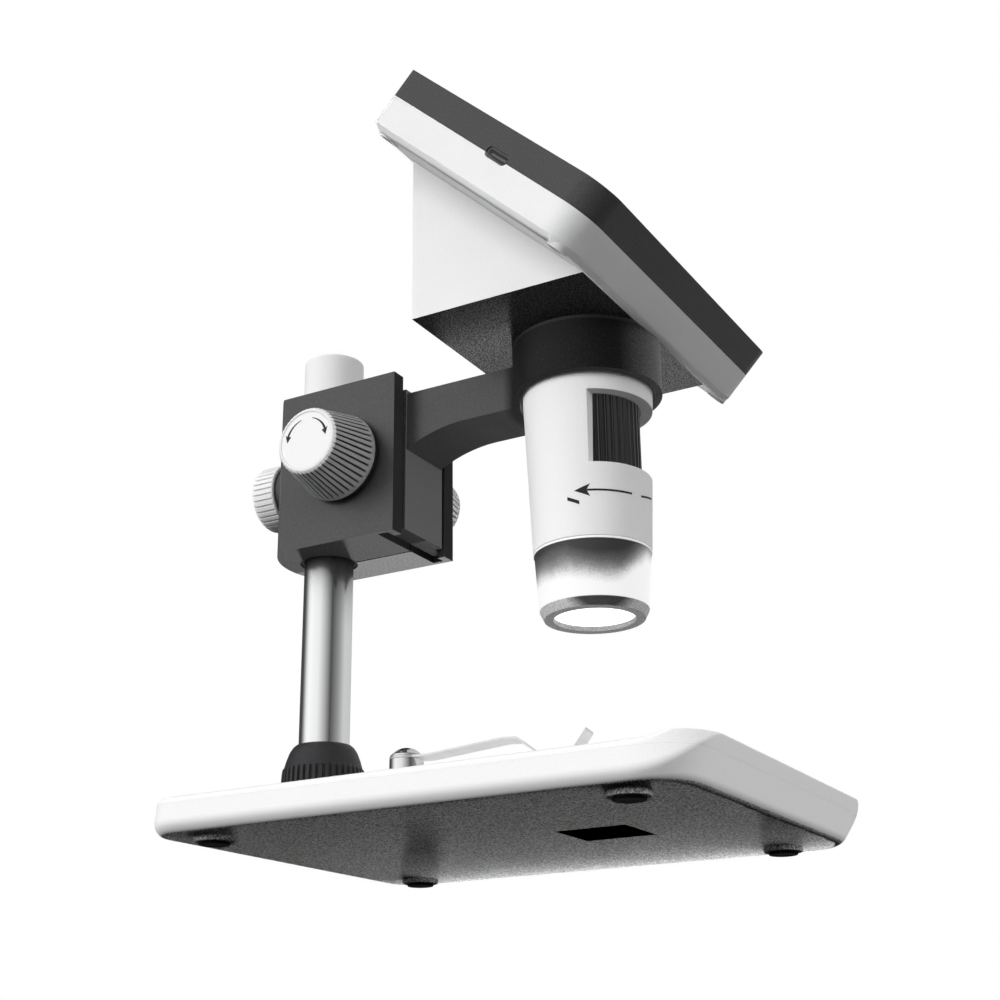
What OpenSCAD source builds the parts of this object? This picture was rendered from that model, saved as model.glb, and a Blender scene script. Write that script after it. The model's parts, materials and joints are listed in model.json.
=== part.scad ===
// LCD digital microscope on a column stand.
// Frame: +X to the user's right, -Y to the user, +Z up. The origin is the middle of the
// overall footprint, at the bottom of the rubber feet. Units are millimetres.
// Modules inside at_column() measure y from the column's axis, with the user at minus y.
// Modules inside in_slab() use the screen housing's own plane: y runs up the tilted face from
// its top edge, z runs out of the display and the face lies at z = 0.

/* [Base] */
// Widest width of the base
base_w = 136.4; // [120:0.2:160]
// Column axis to the front lip
base_front = 153.8; // [145:0.2:185]
// Column axis to the rear edge
base_rear = 14; // [13:0.5:22]
// Height of the underside above the table
base_floor_z = 2.2; // [1.8:0.1:3]
// Height of the joint between tray and top
base_seam_z = 10.2; // [9.8:0.1:14]
// Thickness of the top plate
base_top_t = 2.1; // [1.8:0.1:3]
// Rise of the front lip over the top plate
base_lip = 1.7; // [0.5:0.1:3]
// Lean of the front wall between underside and lip
front_lean = 5.8; // [2:0.1:8]
// Tuck of the side walls below their widest line
side_tuck = 2.2; // [1:0.1:3]
// Corner radius at the front
base_r_front = 18; // [12:1:24]
// Corner radius at the rear
base_r_rear = 12; // [8:1:13]
// Wall of the base tray
base_wall = 2; // [1.6:0.1:2.4]

/* [Feet] */
// Half the distance between left and right feet
foot_x = 53.8; // [45:0.2:56]
// Column axis to the front feet
foot_front = 129.5; // [110:0.5:134]
// Column axis to the rear feet, towards the front
foot_rear = 2.3; // [0:0.1:12]
// Radius of a rubber pad
foot_pad_r = 4.4; // [4:0.1:5]
// Radius of the boss that holds a pad
foot_boss_r = 5.9; // [5.6:0.1:6.5]
// Pad standing out of its boss
foot_pad_h = 0.8; // [0.6:0.1:1.2]

/* [Column] */
// Outer radius of the column tube
column_r = 8; // [7:0.5:9]
// Wall of the column tube
column_wall = 1.5; // [1.2:0.1:2]
// Height of the column's top under its cap
column_top = 166; // [160:1:190]
// Radius of the cap
cap_r = 10; // [10:0.5:12]
// Height of the cap
cap_h = 15.4; // [12:0.2:18]
// Radius of the collar's ribbed skirt
collar_r = 13.2; // [12.6:0.1:16]
// Height of the collar
collar_h = 25; // [20:0.5:30]

/* [Focus block] */
// Width of the block
block_w = 36.2; // [34:0.2:44]
// Height of the block
block_h = 53.8; // [50:0.2:60]
// Middle of the block above the table
block_z = 125; // [120:0.5:126]
// Column axis to the front of the block
block_front = 36.5; // [34:0.5:42]
// Column axis to the corner of the rounded back
block_side_rear = 7.2; // [5:0.2:9]
// Column axis to the crown of the rounded back
block_rear = 14.8; // [13.5:0.1:18]
// Thickness of the front flanges
flange_w = 5.2; // [4.5:0.1:6]
// Wall of the bush between column and block
bush_wall = 1.25; // [1:0.05:1.5]
// Column axis to the axis of the side knobs, towards the front
shaft_y = 17.1; // [16:0.1:18]
// Radius of the pinion shaft
shaft_r = 2.5; // [2:0.1:3]
// Gear module of the rack and pinion
gear_m = 0.8; // [0.7:0.05:0.9]
// Teeth on the pinion
pinion_teeth = 12; // [12:1:12]

/* [Knobs] */
// Radius of the side knobs at the block
knob_r = 14.4; // [13:0.1:16]
// Radius of the side knobs at their face
knob_face_r = 10.7; // [9:0.1:12]
// Length of the side knobs
knob_len = 17.5; // [14:0.5:20]
// Ribs around a side knob
knob_ribs = 44; // [30:1:50]
// Radius of the rear clamp knob
clamp_r = 11.1; // [10:0.1:13]
// Length of the rear clamp knob
clamp_len = 7.6; // [6:0.2:10]

/* [Carriage and ring] */
// Width of the sliding carriage's front
carriage_w = 22.2; // [20:0.2:24]
// Height of the carriage
carriage_h = 47.9; // [40:0.5:50]
// Travel of the carriage each way
carriage_travel = 10; // [6:0.5:10]
// Column axis to the barrel's axis
reach = 96; // [90:0.5:104]
// Outer radius of the holder ring
ring_r = 23.1; // [23:0.1:25]
// Bottom of the holder ring
ring_z = 135.3; // [134:0.1:137]
// Height of the holder ring
ring_h = 16.3; // [14:0.1:18]
// Thickness of the rubber liner
liner_t = 0.82; // [0.6:0.02:1.2]

/* [Barrel] */
// Radius of the barrel inside the ring
barrel_r = 20; // [19.5:0.1:20.5]
// Radius of the barrel at its lower end
barrel_r_low = 17.75; // [17.6:0.05:18.5]
// Bore of the barrel
barrel_bore = 16.2; // [16:0.1:16.5]
// Height of the barrel's lower end
barrel_z = 84.7; // [82:0.1:88]
// Height of the diffuser tip's lower end
tip_z = 64.2; // [60:0.1:68]
// Radius of the opening in the tip
tip_hole_r = 12; // [10:0.2:12.6]
// Radius of the focus wheel
wheel_r = 15.7; // [15:0.1:15.9]
// Ribs around the focus wheel
wheel_ribs = 42; // [30:1:50]
// Travel of the lens each way
lens_travel = 2.8; // [1:0.1:3]

/* [Screen housing] */
// Width of the screen housing
slab_w = 127; // [118:0.5:140]
// Height of its tilted face
slab_h = 89; // [88:0.5:98]
// Whole thickness of the housing
slab_t = 21.1; // [20:0.1:24]
// Thickness of the dark front bezel
bezel_t = 9.5; // [9.2:0.1:10]
// Corner radius of the housing
slab_r = 10; // [7:0.5:12]
// Tilt of the face from level
tilt = 44; // [42:0.5:46]
// Column axis to the face's top edge, towards the front
slab_y = 70.4; // [69:0.1:72]
// Height of the face's top edge
slab_z = 227.2; // [226:0.1:230]
// Wall of the housing
shell_wall = 2; // [1.6:0.1:2.4]
// Width of the wedge behind the housing
wedge_w = 88.6; // [80:0.2:100]
// Column axis to the wedge's upright back
wedge_back = 59.7; // [58:0.1:64]
// Visible width of the display
lcd_view_w = 95; // [80:1:98]
// Visible height of the display
lcd_view_h = 54; // [48:1:56]

/* [Buttons and clips] */
// Radius of a button
button_r = 3.6; // [3:0.1:4.2]
// Distance between buttons
button_pitch = 16; // [12:0.5:18]
// Travel of a button
button_travel = 0.7; // [0.4:0.1:0.8]
// Half the distance between the clip posts
clip_x = 50; // [44:0.5:52]
// Column axis to the clip posts, towards the front
clip_y = 63; // [60:0.5:72]
// Radius of a clip post
clip_post_r = 4.6; // [4:0.1:5]
// Thickness of a clip's spring strip
clip_t = 0.6; // [0.5:0.1:0.8]
// Turn of a clip towards the middle at rest
clip_toe = 10; // [0:1:20]

/* [Hidden] */

curve = 96;
small = 0.02;
running = 0.05;
slide_gap = 0.15;
part_gap = 0.3;
white = [0.93, 0.93, 0.93];
charcoal = [0.2, 0.2, 0.21];
steel = [0.75, 0.76, 0.78];

// Heights and reaches of the base
base_top_z = base_seam_z + base_top_t;
lip_z = base_top_z + base_lip;
widest_z = base_floor_z + 3.3;
lip_run = 20;
pillar_r = 5.4;
pillar_z = 8;
screw_r = 1.5;
screw_head_r = 3.1;
screw_head_h = 2.6;
screw_seat_z = 6;
weight_t = 3.6;
weight_half = 38;
weight_front = 125;
weight_rear = 8;
plate_w = 20.6;
plate_d = 21.8;
plate_front = 108;
plate_t = 0.5;

// The overall footprint runs from the front lip to the end of the clamp knob
clamp_boss_end = block_rear + 2.4;
clamp_end = clamp_boss_end + part_gap + clamp_len;
col_y = (base_front - clamp_end) / 2;

// Column parts
boss_r = 10.8;
boss_h = 9.5;
bolt_r = 4;
bolt_head_r = 6.6;
bolt_head_h = 2;
plug_h = 26;
bush_r = column_r + running + bush_wall;
bush_flange_r = 12.6;
bush_flange_h = 2.6;

// Focus block
block_low = block_z - block_h / 2;
block_high = block_z + block_h / 2;
slot_front_half = block_w / 2 - flange_w;
slot_half = block_w / 2 - 1.6;
flange_t = 2.7;
slot_depth = 6.5;
slot_y = block_front - slot_depth;
tongue_t = slot_depth - flange_t - 2 * slide_gap;
pitch_r = gear_m * pinion_teeth / 2;
tooth_pitch = PI * gear_m;
rack_teeth = 10;
rack_len = rack_teeth * tooth_pitch;
rack_half = 3.5;
rack_y = shaft_y + pitch_r;
pinion_half = 4.4;
pinion_room = pitch_r + gear_m + 0.6;
washer_r = 13.4;
washer_t = 2.1;
slit_x = 2.1;
slit_w = 0.8;
clamp_boss_r = 9.8;
clamp_screw_r = 3;
pad_len = 2.2;
knob_x = block_w / 2 + washer_t + part_gap;
face_t = 1.2;

// Carriage, arm and ring
carriage_low = block_low + 2.3;
arm_half = carriage_w / 2 - 0.6;
arm_top = 147;
arch_r = 45.8;
arch_y = 58;
arch_top = 132.9;
ring_bore = barrel_r + 2 * running + liner_t;
liner_flange = 1.2;
ring_top = ring_z + ring_h;
housing_low = ring_top + liner_flange;

// Barrel and optics
barrel_lip = 2;
neck_r = 14;
neck_wall = 1.6;
neck_h = 4.5;
window_low = 107;
window_high = 129.8;
window_half_angle = 65;
cone_top = 134;
frame_r = 11.6;
frame_wall = 1.1;
frame_low = 93;
frame_high = housing_low - barrel_lip;
frame_flange_r = 15.5;
frame_flange_t = 2;
wheel_low = 105;
wheel_high = 131.5;
hub_r = 13.2;
cell_r = frame_r - frame_wall - 0.1;
cell_low = 96.3;
cell_h = 20;
lens_r = 6;
sensor_z = 142;
board_t = 1.6;
led_ring_r = 11.9;
led_count = 8;
tip_top_r = 17.7;
tip_low_r = 16.1;
tip_wall = 1.6;
tip_neck_h = 6.6;
tip_bevel_z = tip_z + 3.2;

// Screen housing
back_chamfer = 2;
wedge_half = wedge_w / 2;
glass_w = 112;
glass_h = 64;
glass_t = 1.2;
glass_set = 0.2;
bezel_face_t = 2.6;
lcd_w = 105.5;
lcd_h = 67.2;
lcd_t = 2.9;
lcd_mid = 37;
board_w = 119;
board_h = 83;
board_z = -9.3;
board_back = board_z - board_t;
button_row = 79.4;
button_n = 5;
button_rise = 0.9;
key_h = 2.1;
pad_x = slab_w / 2 - 5.6;
pad_low = slab_h - 5.3;
pad_high = 5.3;
pad_r = 3.4;
pad_h = 0.8;
case_seat = 0.6;
post_r = 3;
dc_v = 50.2;
dc_w = 8.9;
dc_h = 3.2;
dc_z = -8.9;
dc_len = 7.2;
card_v = 30;
dimmer_v = 58;
dimmer_r = 8;
dimmer_t = 3;
dimmer_out = 1.6;
dimmer_z = -14.4;
card_z = board_back - 1.2;
flex_y = reach - 2;
flex_v = (flex_y - slab_y - board_back * sin(tilt)) / cos(tilt);
plug_t = 1.2;

module at_column() { translate([0, col_y, 0]) children(); }
module at_barrel(z = 0) { translate([0, col_y - reach, z]) children(); }
module in_slab() { translate([0, col_y - slab_y, slab_z]) rotate([tilt, 0, 0]) children(); }
module along_x() { rotate([0, 90, 0]) children(); }
module both_sides() { children(); mirror([1, 0, 0]) children(); }

// A tube standing on z = 0
module tube(r, bore, h) {
  difference() {
    cylinder(h = h, r = r, $fn = curve);
    translate([0, 0, -small]) cylinder(h = h + 2 * small, r = bore, $fn = curve);
  }
}

// Rectangle from x0, y0 to x1, y1 with its own radius at the low and the high y corners
module round_rect(x0, y0, x1, y1, r_low, r_high, steps = curve) {
  polygon([[x0 + r_low, y0], [x1 - r_low, y0], [x1, y0 + r_low], [x1, y1 - r_high],
    [x1 - r_high, y1], [x0 + r_high, y1], [x0, y1 - r_high], [x0, y0 + r_low]]);
  for (x = [x0 + r_low, x1 - r_low]) translate([x, y0 + r_low]) circle(r_low, $fn = steps);
  for (x = [x0 + r_high, x1 - r_high]) translate([x, y1 - r_high]) circle(r_high, $fn = steps);
}

// Prism of an outline drawn in y and z, centred across x
module prism_x(w, points) { rotate([90, 0, 90]) linear_extrude(w, center = true) polygon(points); }

// ---- Base ----

// Outline of the base with its sides, front and rear drawn in by the given amounts
module base_outline(side_in, front_in, rear_in, r_front) {
  half = base_w / 2 - side_in;
  linear_extrude(0.01) round_rect(-half, -base_front + front_in, half, base_rear - rear_in, r_front,
    base_r_rear - rear_in, 64);
}

// Outer skin: straight sides that are widest low down, and a front wall that leans out to the lip
module base_skin() {
  hull() {
    translate([0, 0, base_floor_z]) base_outline(side_tuck, front_lean, 1.8, base_r_front - 4);
    translate([0, 0, widest_z]) base_outline(0, 23, 0, 1);
    translate([0, 0, lip_z]) base_outline(0.7, 0, 0.4, base_r_front);
  }
}

module base_solid() {
  intersection() {
    base_skin();
    prism_x(2 * base_w, [[-base_front - 10, 0], [-base_front - 10, lip_z], [-base_front + lip_run / 3, lip_z],
      [-base_front + lip_run, base_top_z], [base_rear + 10, base_top_z], [base_rear + 10, 0]]);
  }
}

// Room inside the base, from the tray's floor to the underside of the top
module base_room() {
  half = base_w / 2 - side_tuck - base_wall + 0.4;
  translate([0, 0, base_floor_z + base_wall]) linear_extrude(base_seam_z - base_floor_z)
    round_rect(-half, -base_front + front_lean + base_wall, half, base_rear - 1.8 - base_wall,
      base_r_front - 4 - base_wall, base_r_rear - 2 - base_wall);
}

module at_feet() {
  for (x = [-foot_x, foot_x], y = [-foot_front, -foot_rear]) translate([x, y, 0]) children();
}

module base_tray() {
  color(white) at_column() difference() {
    union() {
      difference() {
        base_solid();
        base_room();
        translate([-base_w, -base_front - 10, base_seam_z]) cube([2 * base_w, base_front + 100, 40]);
      }
      at_feet() {
        translate([0, 0, foot_pad_h]) cylinder(h = 2, r = foot_boss_r, $fn = curve);
        translate([0, 0, base_floor_z]) cylinder(h = pillar_z - base_floor_z, r = pillar_r, $fn = curve);
      }
    }
    at_feet() {
      translate([0, 0, -1]) cylinder(h = screw_seat_z + 1, r = screw_head_r + 0.2, $fn = curve);
      cylinder(h = pillar_z + 1, r = screw_r + 0.2, $fn = curve);
    }
    translate([-plate_w / 2, -plate_front, base_floor_z - small]) cube([plate_w, plate_d, plate_t]);
  }
}

module base_top() {
  color(white) at_column() difference() {
    union() {
      intersection() {
        base_solid();
        translate([-base_w, -base_front - 10, base_seam_z]) cube([2 * base_w, base_front + 100, 40]);
      }
      translate([0, 0, base_top_z - 1]) cylinder(h = boss_h + 1, r = boss_r, $fn = curve);
      at_feet() translate([0, 0, pillar_z]) cylinder(h = base_seam_z + 1 - pillar_z, r = 3.6, $fn = curve);
    }
    translate([0, 0, base_top_z]) cylinder(h = boss_h + 1, r = column_r + running, $fn = curve);
    cylinder(h = 40, r = bolt_r + 0.2, $fn = curve);
    at_feet() cylinder(h = base_top_z - 0.8, r = screw_r, $fn = curve);
    for (x = [-clip_x, clip_x]) translate([x, -clip_y, 0]) cylinder(h = 40, r = 1.6, $fn = 48);
  }
}

module base_weight() {
  color([0.45, 0.46, 0.48]) at_column() difference() {
    translate([-weight_half, -weight_front, base_seam_z - weight_t])
      cube([2 * weight_half, weight_front + weight_rear, weight_t]);
    cylinder(h = 40, r = bolt_r + 0.2, $fn = curve);
  }
}

module base_screws() {
  color(steel) at_column() at_feet() {
    translate([0, 0, screw_seat_z - screw_head_h]) cylinder(h = screw_head_h, r = screw_head_r, $fn = 48);
    translate([0, 0, screw_seat_z - 1]) cylinder(h = base_top_z - screw_seat_z, r = screw_r - running, $fn = 48);
  }
}

module foot_pads() {
  color([0.04, 0.04, 0.04]) at_column() at_feet() {
    cylinder(h = foot_pad_h, r = foot_pad_r, $fn = curve);
    cylinder(h = screw_seat_z - screw_head_h - running, r = screw_head_r + 0.1, $fn = curve);
  }
}

module underside_plate() {
  color([0.03, 0.03, 0.03]) at_column()
    translate([-plate_w / 2 + 0.1, -plate_front + 0.1, base_floor_z])
      cube([plate_w - 0.2, plate_d - 0.2, plate_t - small]);
}

// ---- Column ----

module column_tube() {
  color(steel) at_column() translate([0, 0, base_top_z])
    tube(column_r, column_r - column_wall, column_top - base_top_z);
}

module column_plug() {
  color([0.6, 0.6, 0.62]) at_column() translate([0, 0, base_top_z])
    tube(column_r - column_wall - running, bolt_r, plug_h);
}

module column_bolt() {
  color([0.6, 0.6, 0.62]) at_column() translate([0, 0, base_seam_z - weight_t]) {
    translate([0, 0, -bolt_head_h]) cylinder(h = bolt_head_h, r = bolt_head_r, $fn = 6);
    cylinder(h = plug_h - 2, r = bolt_r - running, $fn = 48);
  }
}

// Ribbed collar that screws over the base's boss and closes on the tube with a cone
module column_collar() {
  ribs = 40;
  skirt = 12.5;
  cone_low = collar_h - 8;
  color([0.1, 0.1, 0.1]) at_column() translate([0, 0, base_top_z + part_gap]) difference() {
    union() {
      cylinder(h = skirt, r = collar_r, $fn = curve);
      translate([0, 0, skirt]) cylinder(h = cone_low - skirt, r1 = collar_r - 0.3, r2 = collar_r - 0.6, $fn = curve);
      translate([0, 0, cone_low]) cylinder(h = 6.2, r1 = collar_r - 0.6, r2 = collar_r - 2.8, $fn = curve);
      translate([0, 0, cone_low + 6.2]) cylinder(h = 1.8, r1 = collar_r - 2.8, r2 = column_r + 0.6, $fn = curve);
    }
    translate([0, 0, -small]) cylinder(h = boss_h + part_gap, r = boss_r + running * 2, $fn = curve);
    cylinder(h = 40, r = column_r + 0.1, $fn = curve);
    for (i = [0 : ribs - 1]) rotate(i * 360 / ribs) translate([collar_r - 0.5, -0.35, -small])
      cube([2, 0.7, skirt - 1.2]);
  }
}

module column_cap() {
  color(white) at_column() translate([0, 0, column_top + 4.2 - cap_h]) difference() {
    union() {
      cylinder(h = cap_h - 0.8, r = cap_r, $fn = curve);
      translate([0, 0, cap_h - 0.8]) cylinder(h = 0.8, r1 = cap_r, r2 = cap_r - 0.8, $fn = curve);
    }
    translate([0, 0, -small]) cylinder(h = cap_h - 4.2 + small, r = column_r + running, $fn = curve);
  }
}

module column_bush() {
  color([0.12, 0.12, 0.12]) at_column() difference() {
    union() {
      translate([0, 0, block_low + 0.2]) cylinder(h = block_h, r = bush_r, $fn = curve);
      translate([0, 0, block_high + running]) cylinder(h = bush_flange_h, r = bush_flange_r, $fn = curve);
    }
    cylinder(h = 300, r = column_r + running, $fn = curve);
  }
}

// ---- Stage clips ----

module clip_posts() {
  color(steel) at_column() for (x = [-clip_x, clip_x]) translate([x, -clip_y, 0]) {
    translate([0, 0, base_top_z]) cylinder(h = 5.5, r = clip_post_r, $fn = curve);
    translate([0, 0, base_seam_z - 3]) cylinder(h = 11.6, r = 1.5, $fn = 48);
    translate([0, 0, base_seam_z - 2.4]) cylinder(h = 2.4, r = 3.2, $fn = 6);
    translate([0, 0, base_top_z + 5.6 + clip_t]) {
      cylinder(h = 0.5, r = clip_post_r - 0.2, $fn = curve);
      intersection() {
        translate([0, 0, -2.6]) sphere(r = 5.2, $fn = curve);
        cylinder(h = 4, r = clip_post_r - 0.2, $fn = curve);
      }
    }
  }
}

// Side outline of the bent strip: along the strip and up from the post's seat
clip_line = [[0, 0], [7, 0], [20, 1.6], [28, 2.6], [32, 2.5], [42, -5.2], [45, -4.6], [51, 3.4]];
clip_strip_w = 7;

module clip_strip() {
  seat = base_top_z + 5.55;
  color(steel) translate([0, 0, seat]) difference() {
    union() {
      cylinder(h = clip_t, r = clip_post_r, $fn = curve);
      prism_x(clip_strip_w, concat([for (p = clip_line) [-p[0], p[1]]],
        [for (i = [len(clip_line) - 1 : -1 : 0]) [-clip_line[i][0], clip_line[i][1] + clip_t]]));
    }
    translate([0, 0, -2]) cylinder(h = 4, r = 1.7, $fn = 48);
  }
}

module clip_left() {
  at_column() translate([-clip_x, -clip_y, 0]) rotate(clip_toe) clip_strip();
}

module clip_right() {
  at_column() translate([clip_x, -clip_y, 0]) rotate(-clip_toe) clip_strip();
}

// ---- Focus block ----

// Plan of the block: square front and a shallow round back
module block_plan() {
  half = block_w / 2;
  bulge = block_rear - block_side_rear;
  back_r = (half * half + bulge * bulge) / (2 * bulge);
  intersection() {
    translate([-half, -block_front]) square([block_w, block_front + block_rear]);
    union() {
      translate([-half, -block_front]) square([block_w, block_front + block_side_rear]);
      translate([0, block_rear - back_r]) circle(back_r, $fn = curve);
    }
  }
}

module focus_block() {
  pocket_low = block_z - rack_len / 2 - carriage_travel - 1.5;
  color(charcoal) at_column() difference() {
    union() {
      translate([0, 0, block_low]) linear_extrude(block_h) block_plan();
      translate([0, 0, block_z]) rotate([-90, 0, 0]) cylinder(h = clamp_boss_end, r = clamp_boss_r, $fn = curve);
    }
    translate([0, 0, block_low - 1]) cylinder(h = block_h + 2, r = bush_r + running, $fn = curve);
    translate([-slot_front_half, -block_front - 1, block_low - 1])
      cube([2 * slot_front_half, slot_depth, block_h + 2]);
    translate([-slot_half, -block_front + flange_t, block_low - 1])
      cube([2 * slot_half, slot_depth - flange_t, block_h + 2]);
    translate([-rack_half - 0.5, -slot_y - 1, pocket_low])
      cube([2 * rack_half + 1, slot_y + 1 - rack_y + gear_m + 0.5, block_h]);
    translate([-pinion_half - 0.5, -shaft_y, block_z]) along_x()
      cylinder(h = 2 * pinion_half + 1, r = pinion_room, $fn = curve);
    translate([-block_w, -shaft_y, block_z]) along_x()
      cylinder(h = 2 * block_w, r = shaft_r + running, $fn = curve);
    translate([slit_x, -slot_y - 1, block_low - 1]) cube([slit_w, slot_y + 1 - column_r, block_h + 2]);
    translate([0, 0, block_z]) rotate([-90, 0, 0]) cylinder(h = 60, r = clamp_screw_r + running, $fn = curve);
    translate([0, 0, block_z]) rotate([-90, 0, 0])
      cylinder(h = bush_r + part_gap + pad_len + 0.4, r = clamp_screw_r + 0.6, $fn = curve);
  }
}

module knob_washers() {
  color([0.05, 0.05, 0.05]) at_column() both_sides() translate([block_w / 2, -shaft_y, block_z]) along_x()
    tube(washer_r, shaft_r + running, washer_t);
}

// Tapered ribbed knob standing on z = 0, with a shallow recess in its face
module ribbed_knob(r_base, r_face, h, ribs, bore, bore_h) {
  lean = atan((r_base - r_face) / h);
  difference() {
    union() {
      cylinder(h = 1.2, r = r_base, $fn = curve);
      translate([0, 0, 1.2]) cylinder(h = h - 2.4, r1 = r_base, r2 = r_face + 0.3, $fn = curve);
      translate([0, 0, h - 1.2]) cylinder(h = 1.2, r1 = r_face + 0.3, r2 = r_face - 0.6, $fn = curve);
    }
    for (i = [0 : ribs - 1]) rotate(i * 360 / ribs) translate([r_base, 0, 1.2]) rotate([0, -lean, 0])
      translate([-0.7, -0.32, 0]) cube([3, 0.64, h - 3.4]);
    translate([0, 0, h - face_t]) cylinder(h = 4, r = r_face - 1.4, $fn = curve);
    translate([0, 0, -small]) cylinder(h = bore_h, r = bore, $fn = curve);
  }
}

module at_left_knob() {
  translate([-knob_x, col_y - shaft_y, block_z]) rotate([0, -90, 0]) children();
}

module at_right_knob() {
  translate([knob_x, col_y - shaft_y, block_z]) rotate([0, 90, 0]) children();
}

lock_nut_r = 5;
lock_nut_h = 8;

module lock_knob() {
  color(white) at_left_knob() difference() {
    ribbed_knob(knob_r, knob_face_r, knob_len, knob_ribs, shaft_r + running, 14);
    translate([0, 0, 3]) cylinder(h = lock_nut_h, r = lock_nut_r, $fn = 6);
  }
}

module lock_nut() {
  color([0.72, 0.6, 0.3]) at_left_knob() translate([0, 0, 3.05]) difference() {
    cylinder(h = lock_nut_h - 0.1, r = lock_nut_r - running, $fn = 6);
    translate([0, 0, -1]) cylinder(h = 20, r = shaft_r + running, $fn = curve);
  }
}

module knob_disc() {
  translate([0, 0, knob_len - face_t]) cylinder(h = face_t - 0.4, r = knob_face_r - 1.4 - running, $fn = curve);
}

module lock_knob_face() { color([0.97, 0.97, 0.97]) at_left_knob() knob_disc(); }

module pinion_shaft() {
  left_end = knob_x + 13.6;
  color(steel) at_column() translate([-left_end, -shaft_y, block_z]) along_x()
    cylinder(h = left_end + knob_x + 13.6, r = shaft_r, $fn = curve);
}

// Pinion with straight-sided teeth, one of them pointing at the rack
module pinion() {
  tip = pitch_r + 0.7 * gear_m;
  root = pitch_r - 1.1 * gear_m;
  color([0.72, 0.6, 0.3]) at_column() translate([-pinion_half, -shaft_y, block_z]) along_x() difference() {
    linear_extrude(2 * pinion_half) union() {
      circle(root, $fn = curve);
      for (i = [0 : pinion_teeth - 1]) rotate(-90 + i * 360 / pinion_teeth)
        polygon([[root - 0.4, -0.74 * gear_m], [pitch_r, -0.6 * gear_m], [tip, -0.3 * gear_m],
          [tip, 0.3 * gear_m], [pitch_r, 0.6 * gear_m], [root - 0.4, 0.74 * gear_m]]);
    }
    translate([0, 0, -1]) cylinder(h = 20, r = shaft_r + small, $fn = curve);
  }
}

module focus_knob() {
  color(white) at_right_knob() difference() {
    ribbed_knob(knob_r, knob_face_r, knob_len, knob_ribs, shaft_r + small, 14);
    translate([0, 0, 6]) rotate([0, 90, 0]) cylinder(h = 30, r = 1.5, $fn = 48);
  }
}

module focus_knob_face() { color([0.97, 0.97, 0.97]) at_right_knob() knob_disc(); }

module focus_set_screw() {
  color([0.2, 0.2, 0.2]) at_right_knob() translate([shaft_r + small, 0, 6]) rotate([0, 90, 0])
    cylinder(h = 6, r = 1.5 - running, $fn = 48);
}

// ---- Rear clamp ----

module clamp_knob() {
  color(white) at_column() translate([0, clamp_boss_end + part_gap, block_z]) rotate([-90, 0, 0]) difference() {
    union() {
      cylinder(h = clamp_len - 1, r = clamp_r, $fn = curve);
      translate([0, 0, clamp_len - 1]) cylinder(h = 1, r1 = clamp_r, r2 = clamp_r - 1, $fn = curve);
    }
    for (i = [0 : 35]) rotate(i * 10) translate([clamp_r - 0.6, -0.32, 0.6]) cube([2, 0.64, clamp_len - 1.8]);
    translate([0, 0, -small]) cylinder(h = clamp_len - 2, r = clamp_screw_r + small, $fn = curve);
  }
}

module clamp_screw() {
  tip = bush_r + part_gap + pad_len + 0.1;
  end = clamp_boss_end + part_gap + clamp_len - 2.1;
  color(steel) at_column() translate([0, tip, block_z]) rotate([-90, 0, 0])
    cylinder(h = end - tip, r = clamp_screw_r, $fn = curve);
}

module clamp_pad() {
  color([0.85, 0.83, 0.75]) at_column() translate([0, bush_r + part_gap, block_z]) rotate([-90, 0, 0])
    cylinder(h = pad_len, r = clamp_screw_r + 0.45, $fn = curve);
}

// ---- Carriage, arm and holder ring ----

module carriage_arm() {
  tongue_half = slot_half - slide_gap;
  tongue_y = block_front - flange_t - slide_gap;
  color(charcoal) at_column() difference() {
    union() {
      translate([-carriage_w / 2, -block_front, carriage_low]) cube([carriage_w, flange_t + 1, carriage_h]);
      translate([-tongue_half, -tongue_y, carriage_low]) cube([2 * tongue_half, tongue_t, carriage_h]);
      difference() {
        translate([-arm_half, -reach, arch_top - 8])
          cube([2 * arm_half, reach - block_front + 0.5, arm_top - arch_top + 8]);
        translate([0, -arch_y, arch_top - arch_r]) along_x()
          cylinder(h = 60, r = arch_r, center = true, $fn = 180);
        translate([-30, -reach - 30, arch_top - 20]) cube([60, reach + 30 - arch_y, 20]);
      }
      translate([0, -reach, ring_z]) cylinder(h = ring_h, r = ring_r, $fn = 180);
    }
    translate([0, -reach, 100]) cylinder(h = 100, r = ring_bore, $fn = 180);
    at_rack_screws() cylinder(h = screw_in, r = 0.95, $fn = 36);
  }
}

rack_back = slot_y + slide_gap - small;
rack_root = rack_y + 0.9 * gear_m;
rack_seat = rack_root + 1.4;
screw_in = rack_back - rack_seat + tongue_t - 0.8;

// Two small screws enter the rack from between its end teeth and hold it to the carriage
module at_rack_screws() {
  for (side = [-1, 1]) translate([0, -rack_seat, block_z + side * (rack_len / 2 - 1.5 * tooth_pitch)])
    rotate([90, 0, 0]) children();
}

// Rack on the carriage's back, with a gap between teeth at the pinion's centre height
module rack() {
  base_y = -rack_root;
  tip_y = -rack_y + 0.7 * gear_m;
  low = -rack_len / 2;
  color([0.6, 0.6, 0.62]) at_column() translate([0, 0, block_z]) difference() {
    union() {
      translate([-rack_half, -rack_back, low]) cube([2 * rack_half, rack_back + base_y, rack_len]);
      for (i = [0 : rack_teeth - 1]) translate([0, 0, low + (i + 0.5) * tooth_pitch])
        prism_x(2 * rack_half, [[base_y - 0.2, -0.95 * gear_m], [-rack_y, -0.56 * gear_m],
          [tip_y, -0.3 * gear_m], [tip_y, 0.3 * gear_m], [-rack_y, 0.56 * gear_m],
          [base_y - 0.2, 0.95 * gear_m]]);
    }
    translate([0, 0, -block_z]) at_rack_screws() {
      cylinder(h = 30, r = 1, $fn = 36);
      translate([0, 0, -6]) cylinder(h = 6, r = 1.7, $fn = 36);
    }
  }
}

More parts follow.
